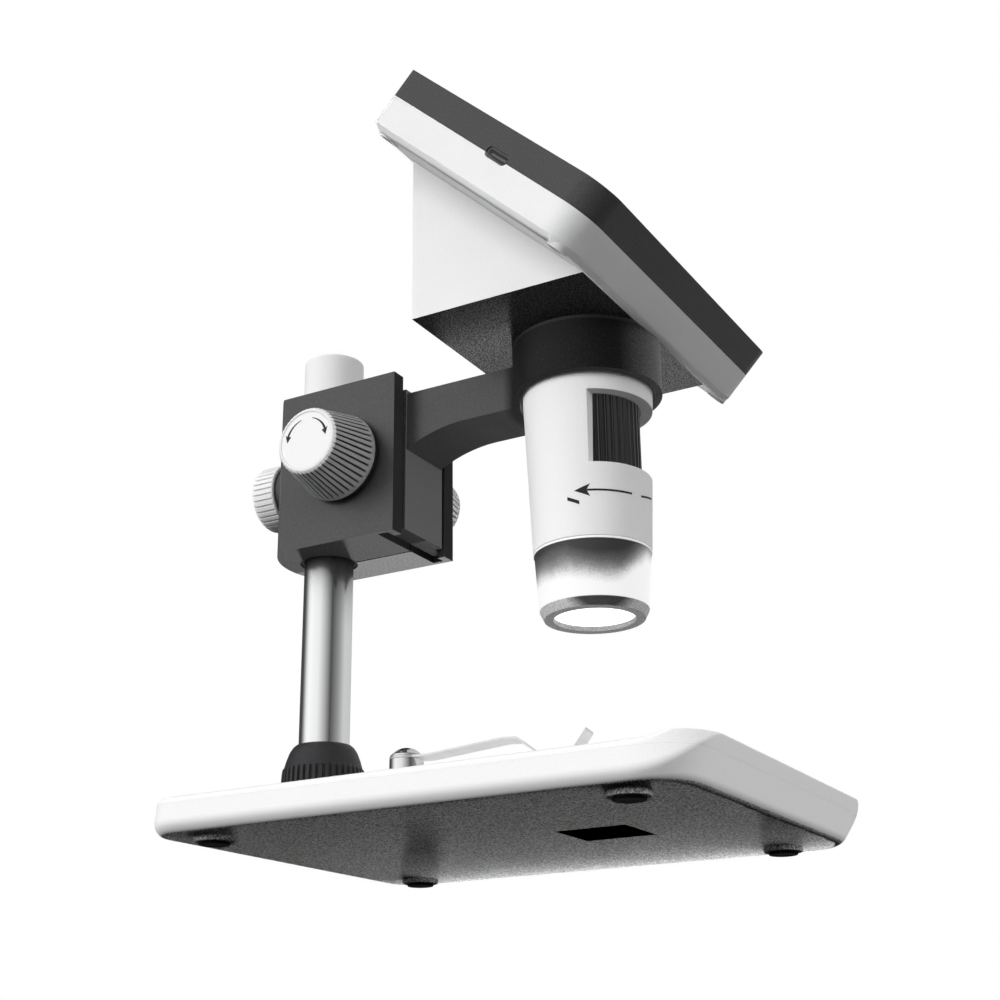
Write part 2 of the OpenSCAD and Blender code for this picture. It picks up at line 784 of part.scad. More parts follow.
module rack_screws() {
  color([0.25, 0.25, 0.26]) at_column() at_rack_screws() {
    translate([0, 0, -1.1]) cylinder(h = 1.1, r = 1.6, $fn = 36);
    translate([0, 0, -0.2]) cylinder(h = screw_in - 0.2, r = 0.9, $fn = 36);
  }
}

module ring_liner() {
  color([0.07, 0.07, 0.07]) at_barrel(ring_z) {
    tube(ring_bore - running, barrel_r + running, ring_h + liner_flange);
    translate([0, 0, ring_h + running]) tube(ring_r, barrel_r + running, liner_flange - running);
  }
}

// ---- Barrel and optics ----

module barrel() {
  color(white) at_barrel() difference() {
    union() {
      translate([0, 0, barrel_z]) cylinder(h = cone_top - barrel_z, r1 = barrel_r_low, r2 = barrel_r, $fn = 180);
      translate([0, 0, cone_top]) cylinder(h = housing_low - cone_top, r = barrel_r, $fn = 180);
      translate([0, 0, housing_low - 1]) cylinder(h = neck_h + 1, r = neck_r, $fn = curve);
    }
    translate([0, 0, barrel_z - 1]) cylinder(h = frame_high - barrel_z + 1, r = barrel_bore, $fn = curve);
    translate([0, 0, frame_high - 1]) cylinder(h = 20, r = neck_r - neck_wall, $fn = curve);
    translate([0, 0, window_low]) linear_extrude(window_high - window_low) intersection() {
      translate([-30, -40]) square([60, 40]);
      polygon([[0, 0], [-40 * sin(window_half_angle), -40 * cos(window_half_angle)], [-40, -40], [40, -40],
        [40 * sin(window_half_angle), -40 * cos(window_half_angle)]]);
    }
    at_frame_screws() cylinder(h = housing_low - 0.4, r = 0.95, $fn = 36);
  }
}

module at_frame_screws() {
  for (a = [30, 150, 270]) rotate(a) translate([14.3, 0, 0]) children();
}

module barrel_retainer() {
  color([0.15, 0.15, 0.15]) at_barrel(housing_low + shell_wall + running)
    tube(neck_r + 3, neck_r + running, neck_h - shell_wall - running);
}

module optic_frame() {
  color([0.1, 0.1, 0.1]) at_barrel() difference() {
    union() {
      translate([0, 0, frame_low]) tube(frame_r, frame_r - frame_wall, frame_high - frame_low);
      translate([0, 0, frame_high - frame_flange_t]) tube(frame_flange_r, frame_r - small, frame_flange_t);
      translate([0, 0, sensor_z - 1.5]) tube(frame_r - small, 8.5, 1.5);
    }
    translate([0, -1, cell_low + cell_h / 2 - 4]) cube([20, 2, 8]);
    at_frame_screws() cylinder(h = 200, r = 1.1, $fn = 36);
  }
}

module frame_screws() {
  head_z = frame_high - frame_flange_t;
  color(steel) at_barrel() at_frame_screws() {
    translate([0, 0, head_z - 1.2]) cylinder(h = 1.2, r = 1.7, $fn = 36);
    translate([0, 0, head_z - 0.2]) cylinder(h = frame_flange_t + 1.6, r = 0.9, $fn = 36);
  }
}

module focus_wheel() {
  color([0.06, 0.06, 0.06]) at_barrel() difference() {
    union() {
      translate([0, 0, wheel_low]) cylinder(h = wheel_high - wheel_low, r = wheel_r, $fn = curve);
      translate([0, 0, wheel_low]) cylinder(h = frame_high - frame_flange_t - 1.8 - wheel_low, r = hub_r, $fn = curve);
    }
    cylinder(h = 300, r = frame_r + running, $fn = curve);
    for (i = [0 : wheel_ribs - 1]) rotate((i + 0.5) * 360 / wheel_ribs)
      translate([wheel_r - 0.7, -0.55, wheel_low - 1]) cube([2, 1.1, wheel_high - wheel_low + 2]);
  }
}

module wheel_retainer() {
  color([0.6, 0.6, 0.62]) at_barrel(wheel_low - 2) tube(hub_r + 0.4, frame_r + 0.03, 1.8);
}

module lens_cell() {
  color([0.08, 0.08, 0.08]) at_barrel(cell_low) difference() {
    union() {
      cylinder(h = cell_h, r = cell_r, $fn = curve);
      translate([0, 0, cell_h / 2]) along_x() cylinder(h = frame_r - 0.1, r = 0.85, $fn = 48);
    }
    translate([0, 0, -1]) cylinder(h = cell_h + 2, r = 4.6, $fn = curve);
    translate([0, 0, -1]) cylinder(h = 4.5, r = lens_r, $fn = curve);
    translate([0, 0, cell_h - 3.5]) cylinder(h = 5, r = lens_r, $fn = curve);
  }
}

module lenses() {
  color([0.75, 0.85, 0.9, 0.5]) at_barrel(cell_low) for (z = [0.9, cell_h - 3.5]) translate([0, 0, z])
    cylinder(h = 2.6, r = lens_r - small, $fn = curve);
}

module sensor_board() {
  color([0.05, 0.3, 0.15]) at_barrel(sensor_z) {
    cylinder(h = board_t, r = frame_r - frame_wall - 0.1, $fn = curve);
    translate([-3.5, -3.5, -1.2]) cube([7, 7, 1.2 + small]);
  }
}

module flex_cable() {
  low = sensor_z + board_t;
  color([0.75, 0.5, 0.15]) at_column() translate([-4, -flex_y - 0.3, low])
    cube([8, 0.3, plane_z(board_back - plug_t - 0.1, -flex_y - 0.3) - low]);
}

module led_board() {
  color([0.05, 0.3, 0.15]) at_barrel(frame_low - board_t) tube(14.3, 5.5, board_t);
  color([0.95, 0.93, 0.7]) at_barrel(frame_low - board_t - 1) for (i = [0 : led_count - 1])
    rotate((i + 0.5) * 360 / led_count) translate([led_ring_r - 1.4, -1.4, 0]) cube([2.8, 2.8, 1 + small]);
}

module diffuser_tip() {
  seam = barrel_z - part_gap;
  color([0.92, 0.94, 0.95, 0.8]) at_barrel() difference() {
    union() {
      translate([0, 0, tip_bevel_z]) cylinder(h = seam - tip_bevel_z, r1 = tip_low_r, r2 = tip_top_r, $fn = 180);
      translate([0, 0, tip_z]) cylinder(h = tip_bevel_z - tip_z, r1 = tip_low_r - 2, r2 = tip_low_r, $fn = 180);
      translate([0, 0, seam - 1]) cylinder(h = tip_neck_h + 1, r = barrel_bore - 0.04, $fn = curve);
    }
    translate([0, 0, tip_z + 1.6]) cylinder(h = 60, r = tip_low_r - tip_wall, $fn = curve);
    translate([0, 0, tip_z - 1]) cylinder(h = 10, r = tip_hole_r, $fn = curve);
  }
}

// ---- Screen housing ----

// Points of the housing in the side plane, as y from the column and z
function slab_point(v, w) = [-slab_y - v * cos(tilt) - w * sin(tilt), slab_z - v * sin(tilt) + w * cos(tilt)];
function plane_z(w, y) = slab_z + (w + sin(tilt) * (y + slab_y)) / cos(tilt);
function plane_y(w, z) = -slab_y + (cos(tilt) * (z - slab_z) - w) / sin(tilt);
function slab_w_at(v, z) = (z - slab_z + v * sin(tilt)) / cos(tilt);

module slab_rect(in_by = 0) {
  half = slab_w / 2 - in_by;
  round_rect(-half, -slab_h + in_by, half, -in_by, slab_r - in_by, 3 - min(in_by, 2));
}

module slab_layer(z_low, z_high, in_by = 0) {
  translate([0, 0, z_low]) linear_extrude(z_high - z_low) slab_rect(in_by);
}

module wedge_outer() {
  at_column() prism_x(wedge_w, [[-wedge_back, housing_low], [-wedge_back, plane_z(1 - slab_t, -wedge_back)],
    slab_point(slab_h - 4, 1 - slab_t), [plane_y(-slab_t, housing_low), housing_low]]);
}

module wedge_inner() {
  floor_z = housing_low + shell_wall;
  back = -wedge_back - shell_wall;
  open_w = 3 - slab_t;
  last_v = slab_h - 5;
  at_column() prism_x(wedge_w - 2 * shell_wall, [[back, floor_z], [back, plane_z(open_w, back)],
    slab_point(last_v, open_w), slab_point(last_v, slab_w_at(last_v, floor_z))]);
}

module at_pads() {
  for (x = [-pad_x, pad_x], v = [pad_high, pad_low]) translate([x, -v, 0]) children();
}

module rear_cover() {
  color(white) {
    difference() {
      union() {
        in_slab() slab_layer(-slab_t + back_chamfer, -bezel_t);
        in_slab() hull() {
          slab_layer(-slab_t + back_chamfer, -slab_t + back_chamfer + 0.5, $fn = 32);
          slab_layer(-slab_t, -slab_t + 0.1, back_chamfer / 2, $fn = 32);
        }
        wedge_outer();
        in_slab() at_pads() translate([0, 0, -slab_t - pad_h]) cylinder(h = 4, r = pad_r, $fn = 48);
      }
      in_slab() slab_layer(-slab_t + shell_wall, -bezel_t + 1, shell_wall);
      wedge_inner();
      at_barrel(housing_low - 1) cylinder(h = 6, r = neck_r + running, $fn = curve);
      at_barrel(ring_z) cylinder(h = ring_h + liner_flange, r = ring_r + part_gap, $fn = curve);
      in_slab() at_pads() translate([0, 0, -slab_t - 2]) cylinder(h = 8, r = 1.7, $fn = 48);
      in_slab() at_pads() translate([0, 0, -slab_t - 2]) cylinder(h = 2 + case_seat, r = 2.8, $fn = 48);
      in_slab() dc_opening();
      in_slab() translate([slab_w / 2 - 4, -card_v - 6, card_z - 0.9]) cube([10, 12, 1.8]);
      in_slab() translate([slab_w / 2 - 12, -dimmer_v - 7.4, dimmer_z - 0.3]) cube([20, 14.8, dimmer_t + 0.6]);
    }
    in_slab() at_pads() translate([0, 0, -slab_t + shell_wall - small])
      tube(post_r, 1.7, slab_t - bezel_t - shell_wall - board_t - 0.3);
  }
}

// Rounded opening for the power socket, cut half from the bezel and half from the cover
module dc_opening(grow = 0.15) {
  side = slab_w / 2;
  translate([-side - 2, -dc_v, dc_z]) along_x() linear_extrude(8) round_rect(-dc_h / 2 - grow,
    -dc_w / 2 - grow, dc_h / 2 + grow, dc_w / 2 + grow, 1.3, 1.3);
}

module case_screws() {
  color(steel) in_slab() at_pads() {
    translate([0, 0, -slab_t - pad_h + 0.3]) cylinder(h = case_seat + pad_h - 0.3, r = 2.6, $fn = 48);
    translate([0, 0, -slab_t]) cylinder(h = slab_t - bezel_face_t - 1.2, r = 1.5, $fn = 48);
  }
}

module front_bezel() {
  color(charcoal) in_slab() difference() {
    union() {
      difference() {
        slab_layer(-bezel_t + small, 0);
        slab_layer(-bezel_t - 1, -bezel_face_t, shell_wall);
      }
      at_pads() translate([0, 0, board_z + 0.1]) cylinder(h = -board_z - bezel_face_t, r = post_r, $fn = 48);
    }
    translate([-glass_w / 2, -lcd_mid - glass_h / 2, -glass_t - glass_set]) cube([glass_w, glass_h, 10]);
    translate([-lcd_view_w / 2 - 1, -lcd_mid - lcd_view_h / 2 - 1, -10])
      cube([lcd_view_w + 2, lcd_view_h + 2, 20]);
    at_buttons() translate([0, 0, -10]) cylinder(h = 20, r = button_r + 0.15, $fn = curve);
    at_pads() translate([0, 0, -20]) cylinder(h = 20 - bezel_face_t, r = 1.5 + running, $fn = 48);
    translate([-button_pitch * (button_n + 1) / 2, -button_row, -10]) cylinder(h = 20, r = 1, $fn = 48);
    dc_opening();
  }
}

module cover_glass() {
  color([0.05, 0.06, 0.08, 0.6]) in_slab()
    translate([-glass_w / 2 + 0.1, -lcd_mid - glass_h / 2 + 0.1, -glass_t - glass_set + small])
      cube([glass_w - 0.2, glass_h - 0.2, glass_t]);
}

module lcd_panel() {
  color([0.1, 0.12, 0.15]) in_slab() translate([-lcd_w / 2, -lcd_mid - lcd_h / 2, -bezel_face_t - lcd_t])
    cube([lcd_w, lcd_h, lcd_t - small]);
}

// Main board with its chips, the five key switches and the cable connector
module main_board() {
  top_v = (slab_h - board_h) / 2;
  color([0.05, 0.3, 0.15]) in_slab() {
    difference() {
      translate([-board_w / 2, -top_v - board_h, board_back]) cube([board_w, board_h, board_t]);
      translate([-board_w / 2 - 1, -dc_v - dc_w / 2 - 0.3, board_back - 1])
        cube([dc_len + 1.6 - (slab_w - board_w) / 2, dc_w + 0.6, 5]);
      at_pads() translate([0, 0, -20]) cylinder(h = 20, r = post_r + 0.1, $fn = 48);
    }
    at_buttons() translate([-3, -3, board_z - small]) cube([6, 6, key_h]);
    translate([-6, -flex_v - 2.5, board_back - plug_t]) cube([12, 5, plug_t + small]);
    translate([-30, -32, board_back - 1.4]) cube([14, 14, 1.4 + small]);
    translate([-10, -28, board_back - 1]) cube([10, 9, 1 + small]);
    translate([8, -24, board_back - 1]) cube([12, 8, 1 + small]);
    at_dimmer() cylinder(h = board_back + small - dimmer_z - 0.3, r = 1.5 - running, $fn = 48);
  }
}

module battery() {
  color([0.55, 0.57, 0.6]) in_slab() translate([-26, -80, board_back - 5.1]) cube([50, 18, 5]);
}

module dc_socket() {
  inner = dc_h / 2 - 0.3;
  color(steel) in_slab() difference() {
    translate([-slab_w / 2 + 0.6, -dc_v, dc_z]) along_x() linear_extrude(dc_len)
      round_rect(-dc_h / 2, -dc_w / 2, dc_h / 2, dc_w / 2, 1.2, 1.2);
    translate([-slab_w / 2, -dc_v, dc_z]) along_x() linear_extrude(dc_len - 0.4)
      round_rect(-inner, -dc_w / 2 + 0.3, inner, dc_w / 2 - 0.3, 1, 1);
  }
  color([0.9, 0.9, 0.88]) in_slab()
    translate([-slab_w / 2 + 1.2, -dc_v - 3.1, dc_z - 0.35]) cube([dc_len - 0.9, 6.2, 0.7]);
}

module card_socket() {
  color(steel) in_slab() translate([slab_w / 2 - 17.5, -card_v - 7, card_z - 1.2]) difference() {
    cube([14.5, 14, 2.38]);
    translate([1.2, 1.35, 0.6]) cube([20, 11.3, 1.2]);
  }
}

module memory_card() {
  color([0.08, 0.08, 0.09]) in_slab() translate([slab_w / 2 - 16, -card_v - 5.5, card_z - 0.5]) cube([16.2, 11, 1]);
}

module at_dimmer() {
  translate([slab_w / 2 + dimmer_out - dimmer_r, -dimmer_v, dimmer_z]) children();
}

module dimmer_wheel() {
  color([0.1, 0.1, 0.1]) in_slab() at_dimmer() difference() {
    cylinder(h = dimmer_t, r = dimmer_r, $fn = curve);
    for (i = [0 : 35]) rotate(i * 10) translate([dimmer_r - 0.4, -0.3, -1]) cube([1, 0.6, dimmer_t + 2]);
    translate([0, 0, -1]) cylinder(h = 10, r = 1.5, $fn = 48);
  }
}

function button_x(i) = (i - (button_n - 1) / 2) * button_pitch;

module at_buttons() {
  for (i = [0 : button_n - 1]) translate([button_x(i), -button_row, 0]) children();
}

module button(i) {
  color([0.8, 0.8, 0.8]) in_slab() translate([button_x(i), -button_row, 0]) {
    translate([0, 0, -bezel_face_t]) cylinder(h = bezel_face_t + button_rise, r = button_r, $fn = curve);
    translate([0, 0, -bezel_face_t - 0.8]) cylinder(h = 0.8 - small, r = button_r + 0.9, $fn = curve);
    translate([0, 0, board_z + key_h + button_travel]) cylinder(h = 4, r = 1.2, $fn = 48);
  }
}

module power_button() { button(0); }
module menu_button() { button(1); }
module up_button() { button(2); }
module down_button() { button(3); }
module ok_button() { button(4); }

base_tray();
base_top();
base_weight();
base_screws();
foot_pads();
underside_plate();
column_tube();
column_plug();
column_bolt();
column_collar();
column_cap();
column_bush();
clip_posts();
clip_left();
clip_right();
focus_block();
knob_washers();
lock_knob();
lock_knob_face();
lock_nut();
pinion_shaft();
pinion();
focus_knob();
focus_knob_face();
focus_set_screw();
clamp_knob();
clamp_screw();
clamp_pad();
carriage_arm();
rack();
rack_screws();
ring_liner();
barrel();
barrel_retainer();
optic_frame();
frame_screws();
focus_wheel();
wheel_retainer();
lens_cell();
lenses();
sensor_board();
flex_cable();
led_board();
diffuser_tip();
rear_cover();
case_screws();
front_bezel();
cover_glass();
lcd_panel();
main_board();
battery();
dc_socket();
card_socket();
memory_card();
dimmer_wheel();
power_button();
menu_button();
up_button();
down_button();
ok_button();
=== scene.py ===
"""LCD digital microscope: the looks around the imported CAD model.

Lengths in this script are millimetres measured from the column's axis, as in the CAD source, and
placed() turns them into the row frame in metres.
"""

import json
import math

import bmesh
import bpy
from mathutils import Matrix, Vector


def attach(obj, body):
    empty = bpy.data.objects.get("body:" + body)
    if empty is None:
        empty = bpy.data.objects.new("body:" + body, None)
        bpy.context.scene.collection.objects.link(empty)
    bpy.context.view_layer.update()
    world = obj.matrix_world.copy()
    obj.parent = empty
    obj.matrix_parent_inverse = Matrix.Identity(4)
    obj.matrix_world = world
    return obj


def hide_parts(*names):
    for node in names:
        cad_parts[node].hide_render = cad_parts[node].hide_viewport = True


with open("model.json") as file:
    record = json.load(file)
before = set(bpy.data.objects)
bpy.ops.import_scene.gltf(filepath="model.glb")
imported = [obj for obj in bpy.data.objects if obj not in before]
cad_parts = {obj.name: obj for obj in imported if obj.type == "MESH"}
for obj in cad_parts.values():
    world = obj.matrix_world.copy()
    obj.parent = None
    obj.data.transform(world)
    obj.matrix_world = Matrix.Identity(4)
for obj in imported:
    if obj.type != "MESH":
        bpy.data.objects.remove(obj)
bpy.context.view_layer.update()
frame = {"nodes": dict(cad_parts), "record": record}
nodes = frame["nodes"]
scene = bpy.context.scene
record = frame["record"]
body_of = {n: b for b, names in record["behaviour"]["bodies"].items() for n in names}
slot_of = {s["node"]: s["material_slot"] for s in record["subparts"]}

# bodies that no mirror ray sees
HEAD_BODIES = {"carriage", "liner", "head", "wheel", "cell", "card", "dimmer",
               "power", "menu", "up", "down", "ok"}

MM = 0.001
AXIS_Y = 64.35
REACH = 96.0
TILT = math.radians(44)
BASE_W, BASE_FRONT, BASE_REAR = 136.4, 153.8, 14.0
FLOOR_Z, SEAM_Z, TOP_Z, LIP_Z, CREASE_Z, CREASE_RISE = 2.2, 10.2, 12.3, 14.0, 4.5, 9.5
FEET = [(x, y) for x in (-53.8, 53.8) for y in (-129.5, -2.3)]
SLAB_W, SLAB_H, SLAB_T = 127.0, 89.0, 21.1
PAD_X, PAD_HIGH, PAD_LOW = 57.9, -5.3, -83.7
TIP_R, TIP_LOW, TIP_H = 17.0, 64.2, 20.2
WINDOW_LOW, WINDOW_HIGH, WINDOW_SIDE = 107.0, 129.8, -0.4226
CAP_Z, CAP_H = 154.8, 15.4
SKIN, SKIN_GAP = 0.12, 0.01
GRAIN, COARSE = 2300, 2100


def placed(x=0.0, y=0.0, z=0.0, turn=None):
    """Matrix from a local frame in mm, with its origin at x, y, z from the column's axis."""
    m = Matrix.Translation(Vector((x, y + AXIS_Y, z)) * MM)
    return (m @ turn if turn else m) @ Matrix.Scale(MM, 4)


BASE = placed()
BARREL = placed(y=-REACH)
SLAB = placed(y=-70.4, z=227.2, turn=Matrix.Rotation(TILT, 4, "X"))
LEFT_KNOB = placed(-20.5, -17.1, 125, Matrix.Rotation(-math.pi / 2, 4, "Y"))
RIGHT_KNOB = placed(20.5, -17.1, 125, Matrix.Rotation(math.pi / 2, 4, "Y"))
CLAMP_KNOB = placed(0, 17.5, 125, Matrix.Rotation(-math.pi / 2, 4, "X"))


def ease(a, b, x):
    """Rises smoothly from 0 at a to 1 at b."""
    t = min(max((x - a) / (b - a), 0.0), 1.0)
    return t * t * (3 - 2 * t)


def around(items):
    """Pairs of each item and the next, and of the last and the first."""
    return zip(items, items[1:] + items[:1])


def add_object(name, data):
    obj = bpy.data.objects.new(name, data)
    scene.collection.objects.link(obj)
    return obj


# ---- materials
class Nodes:
    """Short calls that add nodes to one tree."""

    def __init__(self, tree):
        self.tree = tree

    def give(self, target, value):
        if isinstance(value, bpy.types.NodeSocket):
            self.tree.links.new(value, target)
        else:
            target.default_value = value

    def add(self, kind, values=None, **props):
        node = self.tree.nodes.new(kind)
        for key, value in props.items():
            setattr(node, key, value)
        for key, value in (values or {}).items():
            self.give(node.inputs[key], value)
        return node

    def ramp(self, fac, stops, smooth=False):
        """stops are (position, value) or (position, (r, g, b))."""
        node = self.add("ShaderNodeValToRGB", {"Fac": fac})
        ramp = node.color_ramp
        ramp.interpolation = "EASE" if smooth else "LINEAR"
        while len(ramp.elements) < len(stops):
            ramp.elements.new(0.5)
        for element, (position, value) in zip(ramp.elements, stops):
            element.position = position
            value = value if isinstance(value, tuple) else (value, value, value)
            element.color = (*value, 1)
        return node.outputs["Color"]

    def math(self, operation, a, b=0.0, c=0.0):
        return self.add("ShaderNodeMath", {0: a, 1: b, 2: c}, operation=operation).outputs[0]

    def blend(self, fac, a, b):
        """A mix of two shaders."""
        return self.add("ShaderNodeMixShader", {0: fac, 1: a, 2: b}).outputs[0]


class Paint(Nodes):
    """One procedural material: a Principled shader and calls that add texture to it."""

    def __init__(self, name, colour, rough, metallic=0.0, specular=0.5):
        self.mat = bpy.data.materials.new(name)
        self.mat.use_nodes = True
        super().__init__(self.mat.node_tree)
        self.shader = self.tree.nodes["Principled BSDF"]
        self.put("Base Color", (*colour, 1))
        self.put("Roughness", rough)
        self.put("Metallic", metallic)
        self.put("Specular IOR Level", specular)
        self.place = self.add("ShaderNodeTexCoord").outputs["Object"]
        self.normal = None

    def put(self, socket, value):
        self.give(self.shader.inputs[socket], value)

    def noise(self, scale, detail=2.0, rough=0.5, stretch=None):
        vector = self.place
        if stretch:
            vector = self.add("ShaderNodeMapping", {"Vector": vector, "Scale": stretch}).outputs[0]
        values = {"Vector": vector, "Scale": scale, "Detail": detail, "Roughness": rough}
        return self.add("ShaderNodeTexNoise", values).outputs["Fac"]

    def close(self, distance, samples=8):
        """How open the surroundings are within distance, in metres."""
        values = {"Distance": distance}
        return self.add("ShaderNodeAmbientOcclusion", values, samples=samples).outputs["AO"]

    def mix(self, fac, a, b, blend="MIX"):
        node = self.add("ShaderNodeMix", data_type="RGBA", blend_type=blend)
        for index, value in ((0, fac), (6, a), (7, b)):
            self.give(node.inputs[index], (*value, 1) if isinstance(value, tuple) else value)
        return node.outputs[2]

    def times(self, a, b):
        return self.mix(1.0, a, b, "MULTIPLY")

    def axis(self, index, scale=1.0, shift=0.0):
        """A coordinate of the object's space, in metres, times scale plus shift."""
        value = self.add("ShaderNodeSeparateXYZ", {0: self.place}).outputs[index]
        return self.math("ADD", self.math("MULTIPLY", value, scale), shift)

    def bump(self, height, strength, distance):
        values = {"Height": height, "Strength": strength, "Distance": distance}
        if self.normal is not None:
            values["Normal"] = self.normal
        self.normal = self.add("ShaderNodeBump", values).outputs[0]
        self.put("Normal", self.normal)


def white_moulding(name, tone, rough=0.45, grain=0.35, speck=0.04, corners=0.0):
    """White shell plastic with a fine grain, and painted shade within corners metres of inner
    corners.
    """
    p = Paint(name, tone, rough, specular=0.4)
    fine = p.noise(GRAIN, 2.0, 0.6)
    drift = p.noise(45, 3.0)
    specks = p.ramp(fine, [(0.34, tuple(c * (1 - speck) for c in tone)), (0.62, tone)])
    shade = p.ramp(drift, [(0.3, 0.985), (0.7, 1.0)])
    if corners:
        # painted shade: darker where the surroundings close in within corners metres
        shade = p.times(shade, p.ramp(p.close(corners, 12), [(0.5, 0.7), (0.85, 1.0)]))
    p.put("Base Color", p.times(specks, shade))
    p.put("Roughness", p.ramp(drift, [(0.25, rough - 0.05), (0.75, rough + 0.06)]))
    p.bump(fine, grain, 0.00006)
    return p.mat


def dark_coat(name, tone, rough, grain, fleck, scale=GRAIN, specular=0.3, gaps=False):
    """A coat with fine light flecks on its grain, and painted shade in narrow gaps if gaps is true.
    """
    p = Paint(name, tone, rough, specular=specular)
    fine = p.noise(scale, 2.0, 0.7)
    coarse = p.noise(60, 3.0)
    base = p.ramp(fine, [(0.35, tuple(c * 0.82 for c in tone)), (0.55, tone),
                         (0.72, tuple(c * fleck for c in tone))])
    shade = p.ramp(coarse, [(0.3, 0.93), (0.7, 1.04)])
    if gaps:
        # painted shade in gaps a few millimetres wide
        shade = p.times(shade, p.ramp(p.close(0.003), [(0.3, 0.05), (0.75, 1.0)]))
    p.put("Base Color", p.times(base, shade))
    p.put("Roughness", p.ramp(coarse, [(0.25, rough - 0.06), (0.75, rough + 0.08)]))
    p.bump(fine, grain, 0.00007)
    return p.mat


WHITE = (0.9, 0.9, 0.9)


def ribbed_moulding(name, level, dark=0.06, middle=0.55):
    """White moulding with painted shade in its grooves."""
    p = Paint(name, WHITE, 0.42, specular=0.4)
    fine = p.noise(GRAIN, 2.0, 0.6)
    tone = p.ramp(fine, [(0.34, level * 0.92), (0.62, level)])
    # painted shade in the grooves
    grooves = p.ramp(p.close(0.0016), [(0.3, dark), (0.6, middle), (0.85, 1.0)])
    p.put("Base Color", p.times(tone, grooves))
    p.bump(fine, 0.3, 0.00006)
    return p.mat


def shaded_moulding(name, tones):
    """Spark-eroded underside of the white mouldings, with a coarse speckle between three tones
    darker than the shell: grain and painted shade.
    """
    p = Paint(name, (0.6, 0.6, 0.6), 0.5, specular=0.0)
    fine = p.noise(COARSE, 2.0, 0.75)
    p.put("Base Color", p.ramp(fine, list(zip((0.4, 0.5, 0.6), tones))))
    p.bump(fine, 0.9, 0.00012)
    p.mat.cycles.use_bump_map_correction = False
    return p.mat


def cast_underside():
    """The black casting's underside, in a lighter grey that is painted light, with a coarse speckle
    and painted shade to the left.
    """
    p = Paint("cast_underside", (0.2, 0.2, 0.203), 0.6, specular=0.05)
    fine = p.noise(COARSE, 2.0, 0.7)
    tone = p.ramp(fine, [(0.35, 0.14), (0.55, 0.19), (0.72, 0.38)])
    # painted shade: darker to the left
    shade_to_left = p.ramp(p.axis(0, 200.0, 0.1), [(0.4, 0.42), (0.6, 1.0)])
    p.put("Base Color", p.times(tone, shade_to_left))
    p.bump(fine, 0.9, 0.00007)
    return p.mat


def grey(level, blue=None):
    """A neutral colour, or one whose blue differs a little."""
    return (level, level, level if blue is None else blue)


mats = {
    "white_plastic": white_moulding("white_shell", WHITE),
    "white_cover": white_moulding("white_cover", WHITE, corners=0.014),
    # the white plastic's downward faces, darker than the shell: grain and painted shade
    "white_under": shaded_moulding("white_underside", (0.16, 0.5, 0.9)),
    # the housing's white underside made near black: painted shade
    "underside_painted_shade": shaded_moulding("shaded_underside", (0.017, 0.055, 0.115)),
    "white_ribbed": ribbed_moulding("white_ribs", 0.95, 0.6, 0.9),
    # a darker copy of the white ribs for the left knob's skirt: painted shade
    "grey_ribbed": ribbed_moulding("shaded_white_ribs", 0.42),
    "white_printed": white_moulding("white_disc", grey(0.93), 0.3, 0.08, 0.01),
    "cast_under": cast_underside(),
}
for key, *coat in (
        ("dark_plastic", "charcoal_moulding", (0.07, 0.0695, 0.0715), 0.5, 0.4, 1.35),
        ("key_grey", "key_moulding", (0.3, 0.305, 0.315), 0.42, 0.3, 1.25),
        ("nylon", "natural_nylon", (0.72, 0.7, 0.62), 0.5, 0.2, 1.05, 1500),
        ("black_metal", "black_coat", grey(0.066, 0.068), 0.42, 0.3, 1.3, GRAIN, 0.5, True),
        # a darker copy of the black coat for the block's front faces: painted shade
        ("black_lip", "black_lip", grey(0.012, 0.0125), 0.5, 0.3, 1.5, GRAIN, 0.1),
        ("wheel_rubber", "wheel_rubber", grey(0.012, 0.0125), 0.35, 0.3, 1.3, 1600, 0.4, True),
        ("carriage_face", "carriage_face", grey(0.1, 0.103), 0.42, 0.3, 1.35, GRAIN, 0.5, True),
        ("dark_label", "matt_black_sheet", grey(0.0015), 0.9, 0.1, 1.2, GRAIN, 0.0),
        ("black_plastic", "black_moulding", grey(0.028, 0.03), 0.42, 0.3, 1.5),
        ("rubber", "black_rubber", grey(0.022), 0.45, 0.35, 1.4, 1600, 0.4),
        ("pad_rubber", "pad_rubber", grey(0.008), 0.75, 0.3, 1.4, 1600, 0.05),
        ("ink", "printed_ink", grey(0.02, 0.021), 0.5, 0.1, 1.3, 3000),
        ("ink_white", "printed_white", grey(0.75), 0.45, 0.1, 1.05, 3000)):
    mats[key] = dark_coat(*coat)


def steel_tube():
    """Polished steel, duller and darker where the block above it shades it."""
    steel = (0.955, 0.96, 0.965)
    p = Paint("polished_tube", steel, 0.1, 1.0)
    fine = p.noise(900, 3.0, 0.6, (1, 1, 0.02))
    close = p.close(0.03, 12)
    low = p.ramp(p.axis(2, 10.0), [(0.5, 1.0), (0.6, 0.0)])
    blur = p.ramp(close, [(0.55, 0.4), (0.95, 0.0)])
    blur = p.math("MULTIPLY", blur, p.math("SUBTRACT", 1.0, low))
    p.put("Roughness", p.math("MAXIMUM", blur, p.ramp(fine, [(0.3, 0.07), (0.7, 0.12)])))
    shade = p.ramp(close, [(0.5, 0.06), (0.65, 0.3), (0.75, 0.6), (0.9, 1.0)])
    p.put("Base Color", p.times(steel, p.math("MAXIMUM", shade, low)))
    p.bump(fine, 0.05, 0.00002)
    return p.mat


def plain_metal(name, colour, rough, stretch=(1, 1, 1), scale=1500, strength=0.15):
    p = Paint(name, colour, rough, 1.0)
    fine = p.noise(scale, 3.0, 0.6, stretch)
    p.put("Base Color", p.ramp(fine, [(0.3, tuple(c * 0.88 for c in colour)), (0.7, colour)]))
    p.put("Roughness", p.ramp(fine, [(0.3, rough), (0.7, rough + 0.12)]))
    p.bump(fine, strength, 0.00003)
    return p.mat


